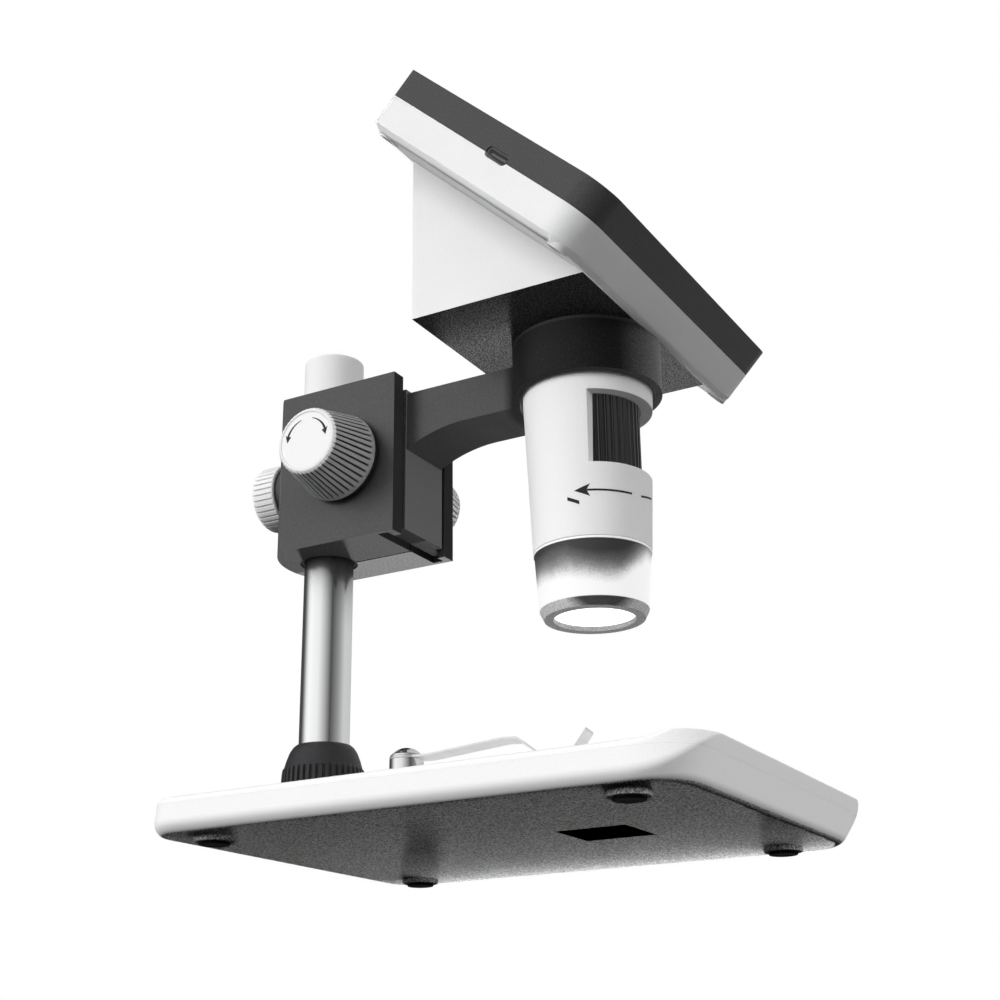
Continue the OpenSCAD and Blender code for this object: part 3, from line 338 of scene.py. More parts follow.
def arm_coat():
    """The arm's coat, which is darker on the ring round the barrel, with painted light on the
    ring's front right.
    """
    p = Paint("arm_coat", (0.06, 0.06, 0.062), 0.42, specular=0.2)
    dx = p.axis(0)
    dy = p.axis(1, 1.0, (REACH - AXIS_Y) * MM)
    away = p.math("SQRT", p.math("ADD", p.math("MULTIPLY", dx, dx), p.math("MULTIPLY", dy, dy)))
    near = p.ramp(p.math("MULTIPLY", away, 10.0), [(0.233, 1.0), (0.262, 0.0)])
    fine = p.noise(GRAIN, 2.0, 0.7)
    drift = p.noise(60, 3.0)
    arm = p.ramp(fine, [(0.35, grey(0.069, 0.07)), (0.7, grey(0.102, 0.104))])
    ring = p.ramp(fine, [(0.35, grey(0.002, 0.0021)), (0.55, grey(0.006, 0.0063)),
                         (0.72, grey(0.022, 0.023))])
    radius = 0.0245
    # painted light: the ring paler towards its front right
    along, across = p.math("MULTIPLY", dx, 0.49 / radius), p.math("MULTIPLY", dy, -0.87 / radius)
    painted_light_side = p.math("ADD", along, across)
    pale = p.ramp(fine, [(0.35, 0.06), (0.55, 0.12), (0.72, 0.22)])
    ring = p.mix(p.ramp(painted_light_side, [(0.35, 0.0), (0.85, 0.9)]), ring, pale)
    p.put("Base Color", p.mix(near, arm, ring))
    p.put("Roughness", p.ramp(drift, [(0.25, 0.36), (0.75, 0.48)]))
    p.bump(fine, 0.35, 0.00007)
    return p.mat


mats["arm_coat"] = arm_coat()
mats["column_steel"] = steel_tube()
for key, *metal in (
        ("spring_steel", "bright_strip", (0.95, 0.955, 0.95), 0.3, (0.05, 0.4, 0.4), 300, 0.0),
        ("chrome_post", "chrome_post", (0.9, 0.905, 0.91), 0.1, (1, 1, 0.1), 400, 0.02),
        ("zinc_steel", "zinc_fastener", (0.6, 0.61, 0.63), 0.3),
        ("weight_steel", "rolled_plate", (0.3, 0.3, 0.31), 0.45, (0.05, 1, 1), 700, 0.3),
        ("gear_brass", "cut_brass", (0.75, 0.56, 0.26), 0.25),
        ("rack_aluminium", "cut_aluminium", (0.75, 0.75, 0.77), 0.3, (1, 1, 0.08)),
        ("black_screw", "dark_screw", (0.16, 0.16, 0.17), 0.35),
        ("lcd", "panel_frame", (0.3, 0.3, 0.31), 0.4)):
    mats[key] = plain_metal(*metal)


def board():
    p = Paint("board_mask", (0.02, 0.17, 0.08), 0.32)
    weave = p.noise(420, 1.0, 0.5, (1, 0.2, 0.2))
    values = {"Vector": p.place, "Scale": 260}
    lines = p.add("ShaderNodeTexVoronoi", values, distance="CHEBYCHEV").outputs["Distance"]
    traces = p.ramp(lines, [(0.46, (0.02, 0.17, 0.08)), (0.52, (0.05, 0.27, 0.13))])
    cloth = p.ramp(weave, [(0.4, 0.0), (0.7, 0.35)])
    p.put("Base Color", p.mix(cloth, traces, (0.015, 0.12, 0.06)))
    p.bump(lines, 0.2, 0.00004)
    return p.mat


def film():
    p = Paint("polyimide_film", (0.62, 0.33, 0.07), 0.25)
    values = {"Vector": p.place, "Scale": 320, "Distortion": 0.0}
    stripe = p.add("ShaderNodeTexWave", values).outputs["Fac"]
    p.put("Base Color", p.ramp(stripe, [(0.3, (0.66, 0.37, 0.09)), (0.7, (0.4, 0.19, 0.04))]))
    return p.mat


def foil():
    p = Paint("foil_pouch", (0.5, 0.51, 0.53), 0.35, 0.9)
    crease = p.noise(130, 4.0, 0.65)
    p.put("Roughness", p.ramp(crease, [(0.3, 0.25), (0.7, 0.45)]))
    p.bump(crease, 0.5, 0.0004)
    return p.mat


def glass(name, colour, alpha):
    p = Paint(name, colour, 0.04)
    p.put("Roughness", p.ramp(p.noise(30, 3.0), [(0.35, 0.04), (0.75, 0.09)]))
    p.put("Alpha", alpha)
    return p.mat


mats["board_green"] = board()
mats["flex_film"] = film()
mats["cell_foil"] = foil()
mats["clear_glass"] = glass("lens_glass", (0.55, 0.62, 0.68), 0.35)
mats["screen_glass"] = glass("screen_cover", (0.012, 0.013, 0.015), 0.22)


def frosted():
    """Frosted tip: lit below, with the dark lamp board showing through on top."""
    p = Paint("frosted_tip", (0.9, 0.9, 0.9), 0.4, specular=0.4)
    height = p.axis(2, 1 / (TIP_H * MM), -TIP_LOW / TIP_H)
    grain = p.noise(GRAIN, 2.0, 0.75)
    cloud = p.noise(140, 2.0, 0.5)

    def towards(degrees):
        """How far a point lies from the barrel's axis in one direction, in radii."""
        a = math.radians(degrees)
        x = p.axis(0, math.cos(a) / (TIP_R * MM))
        y = p.axis(1, math.sin(a) / (TIP_R * MM), (REACH - AXIS_Y) * math.sin(a) / TIP_R)
        return p.math("ADD", x, y)

    def wobble(value, source, amount):
        return p.math("ADD", value, p.math("MULTIPLY", p.math("SUBTRACT", source, 0.5), amount))

    # darker towards -135 degrees, and lighter towards -45 degrees as a painted reflection
    darker_side = p.ramp(towards(-135), [(0.72, 0.0), (0.98, 0.11)])
    clear = p.ramp(towards(-45), [(0.0, 0.0), (0.85, 0.34)], True)
    shadow = p.math("ADD", p.math("SUBTRACT", height, 0.06), darker_side)
    dusty = wobble(wobble(p.math("SUBTRACT", shadow, clear), cloud, 0.12), grain, 0.16)
    body = p.ramp(dusty, [(0.36, 0.24), (0.5, 0.17), (0.6, 0.15), (0.7, 0.1), (0.85, 0.04)])
    glow = p.ramp(dusty, [(0.36, 0.8), (0.45, 0.6), (0.52, 0.34), (0.6, 0.12), (0.7, 0.03),
                          (0.85, 0.0)])
    # painted shade: the lower bevel darkest on its side towards -146 degrees
    side = p.ramp(towards(-146), [(0.45, 0.5), (0.72, 0.55), (0.8, 0.3), (0.865, 0.04)])
    bevel = p.times(side, p.ramp(grain, [(0.35, 0.6), (0.65, 1.2)]))
    rim = p.ramp(grain, [(0.35, 0.06), (0.65, 0.34)])
    on_bevel = p.ramp(height, [(0.128, 1.0), (0.14, 0.0)])
    on_rim = p.ramp(height, [(0.002, 1.0), (0.012, 0.0)])
    on_lip = p.ramp(height, [(0.968, 0.0), (0.974, 1.0)])
    # the bottom rim's faint glow is painted light, and the pale glowing lip at the top is a painted
    # highlight
    colour = p.mix(on_rim, p.mix(on_bevel, body, bevel), rim)
    light = p.mix(on_rim, p.mix(on_bevel, glow, grey(0.01)), grey(0.05))
    p.put("Base Color", p.mix(on_lip, colour, grey(0.8)))
    p.put("Emission Color", p.mix(on_lip, light, grey(0.3)))
    p.put("Emission Strength", 0.9)
    p.bump(grain, 0.4, 0.00006)
    return p.mat


def lit_inside():
    p = Paint("lit_inside", (0.9, 0.9, 0.9), 0.5)
    cloud = p.noise(250, 2.0)
    p.put("Emission Color", p.ramp(cloud, [(0.2, 0.94), (0.8, 1.0)]))
    p.put("Emission Strength", 0.75)
    return p.mat


mats["frosted_acrylic"] = frosted()
mats["lit_inside"] = lit_inside()


def screen_picture():
    """A lit panel that shows plant cells in pale green, as any microscope might."""
    p = Paint("lit_panel", (0.01, 0.01, 0.01), 0.3)
    bend = p.noise(60, 2.0)
    values = {0: (0.004, 0.004, 0.004), "Scale": bend}
    shift = p.add("ShaderNodeVectorMath", values, operation="SCALE").outputs[0]
    warped = p.add("ShaderNodeVectorMath", {0: p.place, 1: shift}, operation="ADD").outputs[0]
    values = {"Vector": warped, "Scale": 105}
    cells = p.add("ShaderNodeTexVoronoi", values, feature="DISTANCE_TO_EDGE").outputs["Distance"]
    walls = p.ramp(cells, [(0.0, (0.05, 0.12, 0.04)), (0.09, (0.16, 0.3, 0.1)),
                           (0.3, (0.5, 0.62, 0.36)), (0.7, (0.62, 0.7, 0.48))])
    values["Scale"] = 620
    grains = p.add("ShaderNodeTexVoronoi", values).outputs["Distance"]
    dots = p.ramp(grains, [(0.12, 1.0), (0.3, 0.0)])
    picture = p.mix(p.math("MULTIPLY", dots, 0.55), walls, (0.06, 0.24, 0.05))
    p.put("Emission Color", picture)
    p.put("Emission Strength", 0.85)
    return p.mat


mats["picture"] = screen_picture()


# ---- mesh helpers
def finish_piece(name, bm, place, node, surface, extra=False, angle=35):
    """Makes an object of bm, which is in mm in the frame of place.

    It replaces the node, or if extra is true it only rides with it.
    """
    bm.transform(place)
    for face in bm.faces:
        face.smooth = True
    limit = math.radians(angle)
    for edge in bm.edges:
        edge.smooth = len(edge.link_faces) != 2 or edge.calc_face_angle(0.0) < limit
    data = bpy.data.meshes.new(name)
    bm.to_mesh(data)
    bm.free()
    for key in surface if isinstance(surface, (list, tuple)) else [surface]:
        data.materials.append(mats[key])
    obj = add_object(name, data)
    obj.modifiers.new("even_faces", "WEIGHTED_NORMAL").keep_sharp = True
    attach(obj, body_of[node])
    obj.visible_glossy = body_of[node] not in HEAD_BODIES
    if not extra:
        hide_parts(node)
    return obj


def solid_piece(name, bm, *rest, **more):
    """A finish_piece whose faces are first turned outwards."""
    bmesh.ops.recalc_face_normals(bm, faces=bm.faces)
    return finish_piece(name, bm, *rest, **more)


def refine(node, bevel=0.35, surface=None, angle=28, move=None, wide=()):
    """The CAD solid with its edges rounded as moulding or machining leaves them.

    move changes a vertex first, and wide lists larger cuts as (test of an edge, size, steps).
    """
    bm = bmesh.new()
    bm.from_mesh(nodes[node].data)
    bmesh.ops.scale(bm, vec=(1000, 1000, 1000), verts=bm.verts)
    bmesh.ops.remove_doubles(bm, verts=bm.verts, dist=0.002)
    if move:
        for vert in bm.verts:
            move(vert)
        bmesh.ops.remove_doubles(bm, verts=bm.verts, dist=0.002)
    bmesh.ops.dissolve_limit(bm, angle_limit=math.radians(0.6), verts=bm.verts, edges=bm.edges)
    bm.normal_update()
    for test, offset, segments in wide:
        picked = [e for e in bm.edges if len(e.link_faces) == 2 and test(e)]
        bmesh.ops.bevel(bm, geom=picked, offset=offset, offset_type="OFFSET", segments=segments,
                        profile=0.5, affect="EDGES", clamp_overlap=segments > 1)
        bm.normal_update()
    limit = math.radians(angle)
    sharp = [e for e in bm.edges if len(e.link_faces) == 2 and e.calc_face_angle(0.0) > limit]
    bmesh.ops.bevel(bm, geom=sharp, offset=bevel, offset_type="OFFSET", segments=2, profile=0.5,
                    affect="EDGES", clamp_overlap=True)
    return finish_piece(node + "_shape", bm, Matrix.Scale(MM, 4), node, surface or slot_of[node])


undersides = []


def underside(name, source, node, keep, surface="white_under", part=0):
    """A thin skin over source's flat downward faces that keep allows, with lamps of its own."""
    bm = bmesh.new()
    bm.from_mesh(source.data)
    drop = [f for f in bm.faces if f.normal.z > -0.9995 or not keep(f)]
    bmesh.ops.delete(bm, geom=drop, context="FACES")
    if part:
        bmesh.ops.bisect_plane(bm, geom=bm.verts[:] + bm.edges[:] + bm.faces[:], dist=1e-7,
                               plane_co=placed(y=-66).translation, plane_no=(0, part, 0),
                               clear_inner=True)
    bmesh.ops.translate(bm, vec=(0, 0, -SKIN_GAP * MM), verts=bm.verts)
    for face in bm.faces:
        face.material_index = 0
    skin = finish_piece(name, bm, Matrix.Identity(4), node, surface, extra=True)
    skin.modifiers.clear()
    skin.visible_glossy = False
    for face in skin.data.polygons:
        face.use_smooth = False
    thick = skin.modifiers.new("thick", "SOLIDIFY")
    thick.thickness, thick.offset = SKIN * MM, -1
    undersides.append(skin)


def rings_to_faces(bm, rings, material=None):
    """Quads between rings of vertices; material holds one index for each gap."""
    made = []
    for k, (low, high) in enumerate(zip(rings, rings[1:])):
        for (a, b), (d, c) in zip(around(low), around(high)):
            face = bm.faces.new((a, b, c, d))
            face.material_index = material[k] if material else 0
            made.append(face)
    return made


def turned(bm, profile, steps=128, wave=None, cap_first=False, cap_last=False, shift=(0, 0),
           material=None):
    """Turns (radius, height[, groove depth]) points round z; wave(angle) shapes the grooves."""
    rings = []
    for radius, height, *groove in profile:
        depth = groove[0] if groove else 0.0
        ring = []
        for i in range(steps):
            a = 2 * math.pi * i / steps
            r = radius - (depth * wave(a) if wave and depth else 0.0)
            x, y = shift[0] + r * math.cos(a), shift[1] + r * math.sin(a)
            ring.append(bm.verts.new((x, y, height)))
        rings.append(ring)
    rings_to_faces(bm, rings, material=material)
    if cap_first:
        bm.faces.new(list(reversed(rings[0])))
    if cap_last:
        bm.faces.new(rings[-1])
    return rings


def rounded(points, radii, steps=5):
    """A polyline with its inner corners rounded; radii holds one cut length for each point."""
    out = [points[0]]
    for k in range(1, len(points) - 1):
        p, q, r = (Vector(points[k - 1]), Vector(points[k]), Vector(points[k + 1]))
        cut = min(radii[k], 0.47 * (q - p).length, 0.47 * (r - q).length)
        a = q + (p - q).normalized() * cut if (p - q).length else q
        b = q + (r - q).normalized() * cut if (r - q).length else q
        for i in range(steps + 1):
            t = i / steps
            out.append(tuple((1 - t) ** 2 * a + 2 * t * (1 - t) * q + t * t * b))
    out.append(points[-1])
    return out


def flat_shape(bm, points):
    bm.faces.new([bm.verts.new(p) for p in points])


def fill(bm, edges, **more):
    """The new faces that fill an outline."""
    made = bmesh.ops.triangle_fill(bm, edges=edges, use_beauty=True, **more)["geom"]
    return [item for item in made if isinstance(item, bmesh.types.BMFace)]


# ---- base
def base_path():
    """Points round the base's widest outline with their outward normals."""
    half, count, side = BASE_W / 2, 24, 14
    corners = [(half - 18, -BASE_FRONT + 18, 18, -90), (half - 12, BASE_REAR - 12, 12, 0),
               (-half + 12, BASE_REAR - 12, 12, 90), (-half + 18, -BASE_FRONT + 18, 18, 180)]
    path = []
    for k, ((cx, cy, r, start), (nx, ny, nr, nstart)) in enumerate(around(corners)):
        for i in range(count + 1):
            a = math.radians(start + 90 * i / count)
            path.append((cx + r * math.cos(a), cy + r * math.sin(a), math.cos(a), math.sin(a)))
        ax, ay = path[-1][0], path[-1][1]
        b = math.radians(nstart)
        bx, by = nx + nr * math.cos(b), ny + nr * math.sin(b)
        gaps = side * (3 if k in (0, 2) else 1)
        for i in range(1, gaps):
            t = i / gaps
            path.append((ax + (bx - ax) * t, ay + (by - ay) * t, math.cos(b), math.sin(b)))
    return path


def plate_top(y):
    """Height of the base's top, which rises to a lip at the front."""
    return TOP_Z + (LIP_Z - TOP_Z) * ease(-137.8, -147.5, y)


def base_profile(y, ny):
    """Inset and height from the underside's edge over the side to the top, at one place."""
    front = max(0.0, -ny) ** 1.5
    rear = max(0.0, ny)
    near = max(0.0, min(1.0, (-131.0 - y) / 22.8))
    top = plate_top(y)
    crease = min(CREASE_Z + CREASE_RISE * near ** 3.3, top - 0.25 - 0.65 * (1 - front))
    low = 2.2 * (1 - front) * (1 - rear) + 5.8 * front + 1.8 * rear
    edge = 0.7 * (1 - front) * (1 - rear) + 0.4 * rear
    lean = (crease - CREASE_Z) / CREASE_RISE
    bull = 2.0 - 1.75 * ease(0.1, 0.6, front)
    points = [(low + 5.0, FLOOR_Z), (low, FLOOR_Z), (0.0, crease), (edge, top), (edge + 4.5, top)]
    radii = [0, 1.3 + 1.6 * front, 1.2 * (1 - lean) + 0.35, bull, 0]
    return rounded(points, radii, 6)


def make_base():
    path = base_path()
    profiles = [base_profile(y, ny) for x, y, nx, ny in path]
    bm = bmesh.new()
    rings = []
    for level in zip(*profiles):
        ring = []
        for (x, y, nx, ny), (inset, z) in zip(path, level):
            ring.append(bm.verts.new((x - nx * inset, y - ny * inset, z)))
        rings.append(ring)
    for inset in (7.0, 9.0, 11.0, 13.0, 15.0, 16.4):
        ring = []
        for x, y, nx, ny in path:
            cut = inset if y < -100 else min(inset, 6.0 + 0.45 * (inset - 6.0))
            px, py = x - nx * cut, y - ny * cut
            ring.append(bm.verts.new((px, py, plate_top(py))))
        rings.append(ring)
    under_gaps = 4
    rings_to_faces(bm, rings, material=[int(k < under_gaps) for k in range(len(rings))])
    bm.faces.new(rings[-1])
    # underside with the recess of the dark plate
    outer = [bm.edges.get(pair) for pair in around(rings[0])]
    plate = ((-10.3, -108), (10.3, -108), (10.3, -86.2), (-10.3, -86.2))
    recess = [[bm.verts.new(p + (z,)) for p in plate] for z in (FLOOR_Z, FLOOR_Z + 0.5)]
    inner = [bm.edges.new(pair) for pair in around(recess[0])]
    for face in rings_to_faces(bm, recess):
        face.material_index = 1
    bm.faces.new(recess[1]).material_index = 1
    for face in fill(bm, outer + inner):
        face.material_index = 1
    bmesh.ops.recalc_face_normals(bm, faces=bm.faces)
    bmesh.ops.bisect_plane(bm, geom=bm.verts[:] + bm.edges[:] + bm.faces[:],
                           plane_co=(0, 0, SEAM_Z), plane_no=(0, 0, 1), dist=0.0001)
    upper = bm.copy()
    for mesh, keep_high in ((bm, False), (upper, True)):
        drop = [f for f in mesh.faces if (f.calc_center_median().z > SEAM_Z) != keep_high]
        bmesh.ops.delete(mesh, geom=drop, context="FACES")
        rim = [e for e in mesh.edges
               if len(e.link_faces) == 1 and abs(e.verts[0].co.z - SEAM_Z) < 0.01]
        bmesh.ops.holes_fill(mesh, edges=rim, sides=0)
        bmesh.ops.bevel(mesh, geom=rim, offset=0.06, offset_type="OFFSET", segments=1,
                        affect="EDGES")
    boss = rounded([(5.9, 2.6), (5.9, 1.5), (5.75, 0.8), (3.0, 0.8)], [0, 0.3, 0.6, 0], 5)
    for x, y in FEET:
        turned(bm, boss, 64, shift=(x, y), cap_last=True, material=[1] * 20)
    turned(upper, [(8.05, TOP_Z), (8.05, 21.8), (10.8, 21.8), (10.8, TOP_Z)], 96)
    both = ["white_plastic", "white_under"]
    tray = solid_piece("base_tray_shape", bm, BASE, "base_tray", both, angle=32)
    level = FLOOR_Z * MM
    for name, part in (("rear", 1), ("front", -1)):
        underside("base_underside_" + name, tray, "base_tray",
                  lambda f: level - 0.0001 < f.calc_center_median().z < level + 0.0012, part=part)
    top = solid_piece("base_top_shape", upper, BASE, "base_top", both, angle=32)
    pads = bmesh.new()
    pad = rounded([(0.8, 0.12), (2.2, 0.12), (2.6, 0.0), (4.3, 0.0), (4.4, 0.8), (1.0, 0.8)],
                  [0, 0.2, 0.2, 0.3, 0, 0], 3)
    for x, y in FEET:
        turned(pads, pad, 64, shift=(x, y), cap_first=True, cap_last=True)
        turned(pads, [(3.2, 0.6), (3.2, 3.35)], 48, shift=(x, y), cap_first=True, cap_last=True)
    solid_piece("foot_pads_shape", pads, BASE, "foot_pads", "pad_rubber")
    return [tray, top]


base_walls = make_base()


# ---- knobs
def groove_wave(count, width):
    """How deep a point at an angle lies in one of count grooves, from 0 to 1."""
    def wave(a):
        c = 0.5 + 0.5 * math.cos(count * a)
        return ease(1 - width, 1 - width * 0.35, c)
    return wave


def knob(name, node, place, surface):
    """A tapered knob with a ribbed skirt and a smooth rim round its face."""
    r_base, r_face, length = 14.4, 10.7, 17.5
    bm = bmesh.new()
    slope = (r_face + 0.3 - r_base) / (length - 2.4)
    side = [(r_base + slope * (z - 1.2), z)
            for z in (1.6, 2.2, 4, 7, 10, 13, length - 2.2, length - 1.5, length - 0.9)]
    depths = [0.3, 0.8, 0.85, 0.85, 0.85, 0.82, 0.7, 0.5, 0.3]
    profile = [(2.7, 0.0), (r_base - 0.5, 0.0), (r_base - 0.15, 0.12), (r_base, 0.5),
               (r_base, 1.15)]
    profile += [(r, z, d) for (r, z), d in zip(side, depths)]
    profile += [(r_face - 0.22, length - 0.35, 0.16), (r_face - 0.55, length - 0.08, 0.06),
                (r_face - 0.9, length), (r_face - 1.15, length - 0.06),
                (r_face - 1.34, length - 0.25), (r_face - 1.4, length - 1.15), (2.7, length - 1.2)]
    skirt = len(profile) - 8
    turned(bm, profile, 44 * 16, groove_wave(44, 0.22), material=[0] * skirt + [1] * 7)
    solid_piece(name, bm, place, node, [surface, "white_plastic"], angle=50)


def knob_face(name, node, place, arrows):
    bm = bmesh.new()
    z = 17.32
    disc = rounded([(0.4, 16.35), (9.33, 16.35), (9.33, z), (0.4, z)], [0, 0, 0.1, 0], 4)
    turned(bm, disc, cap_first=True, cap_last=True)
    bmesh.ops.recalc_face_normals(bm, faces=bm.faces)

    def at(radius, angle):
        return radius * math.cos(angle), radius * math.sin(angle)

    # curved arrows that widen towards their heads
    for side in (-1, 1) if arrows else ():
        reach, outer, inner = 7.4, [], []
        for i in range(17):
            a, half = math.radians(90 - side * (16 + 54 * i / 16)), 0.12 + 0.3 * i / 16
            outer.append(at(reach + half, a))
            inner.append(at(reach - half, a))
        head = math.radians(90 - side * 68)
        outer += [at(reach + 1.2, head), at(reach * 0.98, math.radians(90 - side * 87))]
        inner.append(at(reach - 1.2, head))
        # on the left knob's face the local x axis points up and y towards the rear
        verts = [bm.verts.new((v, -u, z + 0.02)) for u, v in outer + inner[::-1]]
        edges = [bm.edges.new(pair) for pair in around(verts)]
        for face in fill(bm, edges, normal=(0, 0, 1)):
            face.material_index = 1
            if face.normal.z < 0:
                face.normal_flip()
    finish_piece(name, bm, place, node, ["white_printed", "ink"], angle=40)


# the left knob's skirt takes the darker copy of the white ribs, as painted shade
knob("lock_knob_shape", "lock_knob", LEFT_KNOB, "grey_ribbed")
knob("focus_knob_shape", "focus_knob", RIGHT_KNOB, "white_ribbed")
knob_face("lock_knob_face_shape", "lock_knob_face", LEFT_KNOB, True)
knob_face("focus_knob_face_shape", "focus_knob_face", RIGHT_KNOB, False)


def clamp_knob():
    bm = bmesh.new()
    r, h = 11.1, 7.6
    profile = [(2.9, 0.0), (10.0, 0.0), (10.0, -1.3), (r - 0.3, -1.3), (r, -1.0, 0.1),
               (r, -0.6, 0.5), (r, 3.5, 0.55), (r, h - 1.6, 0.5), (r - 0.1, h - 1.1, 0.3),
               (r - 0.5, h - 0.4, 0.1), (r - 1.1, h), (r - 2.2, h), (r - 2.6, h - 0.35),
               (0.6, h - 0.4)]
    turned(bm, profile, 36 * 16, groove_wave(36, 0.28), cap_last=True)
    solid_piece("clamp_knob_shape", bm, CLAMP_KNOB, "clamp_knob", "white_ribbed", angle=50)


clamp_knob()


# ---- column
def collar():
    bm = bmesh.new()
    z0 = TOP_Z + 0.3
    profile = [(8.15, 0.0), (12.9, 0.0), (13.15, 0.3, 0.5), (13.2, 0.9, 0.8), (13.2, 6.0, 0.8),
               (13.1, 12.0, 0.8), (12.95, 15.6, 0.8), (12.8, 16.9, 0.7), (12.7, 17.3, 0.3),
               (12.35, 17.6), (12.2, 18.1),
               (11.6, 20.2), (10.7, 22.6), (10.3, 23.3), (9.6, 24.3), (8.9, 24.9), (8.15, 25.0)]
    profile = [(r, z + z0, *d) for r, z, *d in profile]
    turned(bm, profile, 40 * 12, groove_wave(40, 0.42))
    solid_piece("column_collar_shape", bm, BASE, "column_collar", "black_plastic", angle=45)


def cap():
    bm = bmesh.new()
    low, high = CAP_Z, CAP_Z + CAP_H
    profile = rounded([(8.05, low + 11.2), (8.05, low), (10.0, low), (10.0, high), (0.4, high)],
                      [0, 0.2, 0.5, 0.9, 0], 5)
    turned(bm, profile, cap_last=True)
    solid_piece("column_cap_shape", bm, BASE, "column_cap", "white_plastic", angle=40)


collar()
cap()


# ---- barrel, wheel and tip
def wheel():
    bm = bmesh.new()
    low, high = 105.0, 131.5
    profile = [(11.65, low), (15.2, low), (15.6, low + 0.3, 0.5), (15.7, low + 0.8, 1.1),
               (15.7, 118, 1.1), (15.7, high - 0.8, 1.1), (15.6, high - 0.3, 0.5), (15.2, high),
               (13.2, high), (13.2, 146.6), (11.65, 146.6)]

    def wave(a):
        return ease(0.35, 0.85, 0.5 - 0.5 * math.cos(42 * a))

    rings = turned(bm, profile, 42 * 12, wave)
    rings_to_faces(bm, [rings[-1], rings[0]])
    solid_piece("focus_wheel_shape", bm, BARREL, "focus_wheel", "wheel_rubber", angle=50)


def tip():
    bm = bmesh.new()
    top = 84.4
    outer = rounded([(16.1, 91.0), (16.1, top), (17.72, top), (17.68, top - 0.55),
                     (17.42, top - 0.75), (16.2, 66.9), (14.9, TIP_LOW), (12.2, TIP_LOW),
                     (12.2, 65.8)], [0, 0.1, 0.15, 0.1, 0.1, 0.25, 0.2, 0.15, 0], 4)
    inner = [(12.2, 65.8), (14.5, 65.8), (14.5, 91.0)]
    rings = turned(bm, outer, 160)
    glow = turned(bm, inner, 160, material=[1, 1])
    rings_to_faces(bm, [glow[-1], rings[0]])
    bmesh.ops.remove_doubles(bm, verts=bm.verts, dist=0.0005)
    solid_piece("diffuser_tip_shape", bm, BARREL, "diffuser_tip",
                ["frosted_acrylic", "lit_inside"], angle=40)


def barrel_radius(z):
    return 17.75 + (20.0 - 17.75) * min((z - 84.7) / (134.0 - 84.7), 1.0)


def printed(bm, a, z):
    """A point just over the barrel's skin."""
    r = barrel_radius(z) + 0.03
    return bm.verts.new((r * math.cos(a), r * math.sin(a), z))


def ring_strip(bm, a0, a1, z0, z1, width):
    """A printed line round the barrel from angle a0 to a1 in degrees, rising from z0 to z1."""
    n = max(int(abs(a1 - a0) / 1.5), 2)
    rows = [[], []]
    for i in range(n + 1):
        t = i / n
        a, z = math.radians(a0 + (a1 - a0) * t), z0 + (z1 - z0) * t
        for row, s in zip(rows, (-0.5, 0.5)):
            row.append(printed(bm, a, z + s * width))
    for i in range(n):
        bm.faces.new((rows[0][i], rows[0][i + 1], rows[1][i + 1], rows[1][i]))


def arrow_barb(bm, tip, back, notch, z, half):
    """One half of an arrowhead with a notched back, printed on the barrel; angles in degrees."""
    rows, steps = [], 8
    for i in range(steps + 1):
        t = i / steps
        row = []
        for end, height in ((notch, z), (back, z + half)):
            row.append(printed(bm, math.radians(tip + (end - tip) * t), z + (height - z) * t))
        rows.append(row)
    for (a, b), (c, d) in zip(rows, rows[1:]):
        bm.faces.new((a, b, d, c))


def barrel_marks():
    """Plain arrows and lines printed under the window, and a minus and a plus beside them."""
    bm = bmesh.new()
    z = 98.2
    for side in (-1, 1):
        def angle(d):
            return -90 + side * d
        ring_strip(bm, angle(68), angle(23.4), z, z, 0.62)
        for half in (-1, 1):
            arrow_barb(bm, angle(79.6), angle(64.6), angle(68.2), z, 1.95 * half)
        if side < 0:
            ring_strip(bm, angle(86.3), angle(75), 96.1, 94.5, 1.1)
        else:
            ring_strip(bm, angle(86.3), angle(75), 93.6, 93.6, 1.1)
            ring_strip(bm, angle(82.4), angle(78.9), 93.6, 93.6, 3.9)
    ring_strip(bm, -101, -77, 98.35, 99.95, 0.62)
    for face in bm.faces:
        c = face.calc_center_median()
        if face.normal.x * c.x + face.normal.y * c.y < 0:
            face.normal_flip()
    finish_piece("barrel_marks", bm, BARREL, "barrel", "ink", extra=True)


wheel()
tip()


def square_window(vert):
    """Turns the left wall of the wheel's window so that it faces straight forward."""
    x, y, z = vert.co.x, vert.co.y - AXIS_Y + REACH, vert.co.z
    r = math.hypot(x, y)
    if x > 0 or y > 0 or r > 18:
        return
    front = WINDOW_SIDE * barrel_radius(z)
    at_end = abs(z - WINDOW_LOW) < 0.05 or abs(z - WINDOW_HIGH) < 0.05
    if front < y < WINDOW_SIDE * r + 0.05 and at_end:
        vert.co.x, vert.co.y = -math.sqrt(r * r - front * front), front + AXIS_Y - REACH


refine("barrel", 0.3, angle=32, move=square_window)
barrel_marks()


# ---- block, arm and housing from the CAD
for name, node, bevel, surfaces, clear in (
        ("block_underside", "focus_block", 0.35, ["black_metal", "black_lip"], 0),
        ("carriage_underside", "carriage_arm", 0.4, ["arm_coat", "carriage_face"], 30)):
    piece = refine(node, bevel, surfaces)
    # the second material is for faces to the front, from a distance off the barrel's axis; on the
    # block it is painted shade
    for face in piece.data.polygons:
        away = math.hypot(face.center.x, face.center.y - (AXIS_Y - REACH) * MM)
        if face.normal.y < -0.97 and away > clear * MM:
            face.material_index = 1
    low = min(v.co.z for v in piece.data.vertices)
    underside(name, piece, node, lambda f: f.calc_center_median().z < low + 0.0001, "cast_under")
refine("knob_washers", 0.3)
refine("column_bush", 0.25)
refine("ring_liner", 0.2)
refine("front_bezel", 0.45)
SLAB_BACK = SLAB.inverted()


def from_pad(local):
    """Distance from the middle of the nearest screw pad on the housing's back."""
    pad = PAD_HIGH if local.y > (PAD_HIGH + PAD_LOW) / 2 else PAD_LOW
    return math.hypot(abs(local.x) - PAD_X, local.y - pad)


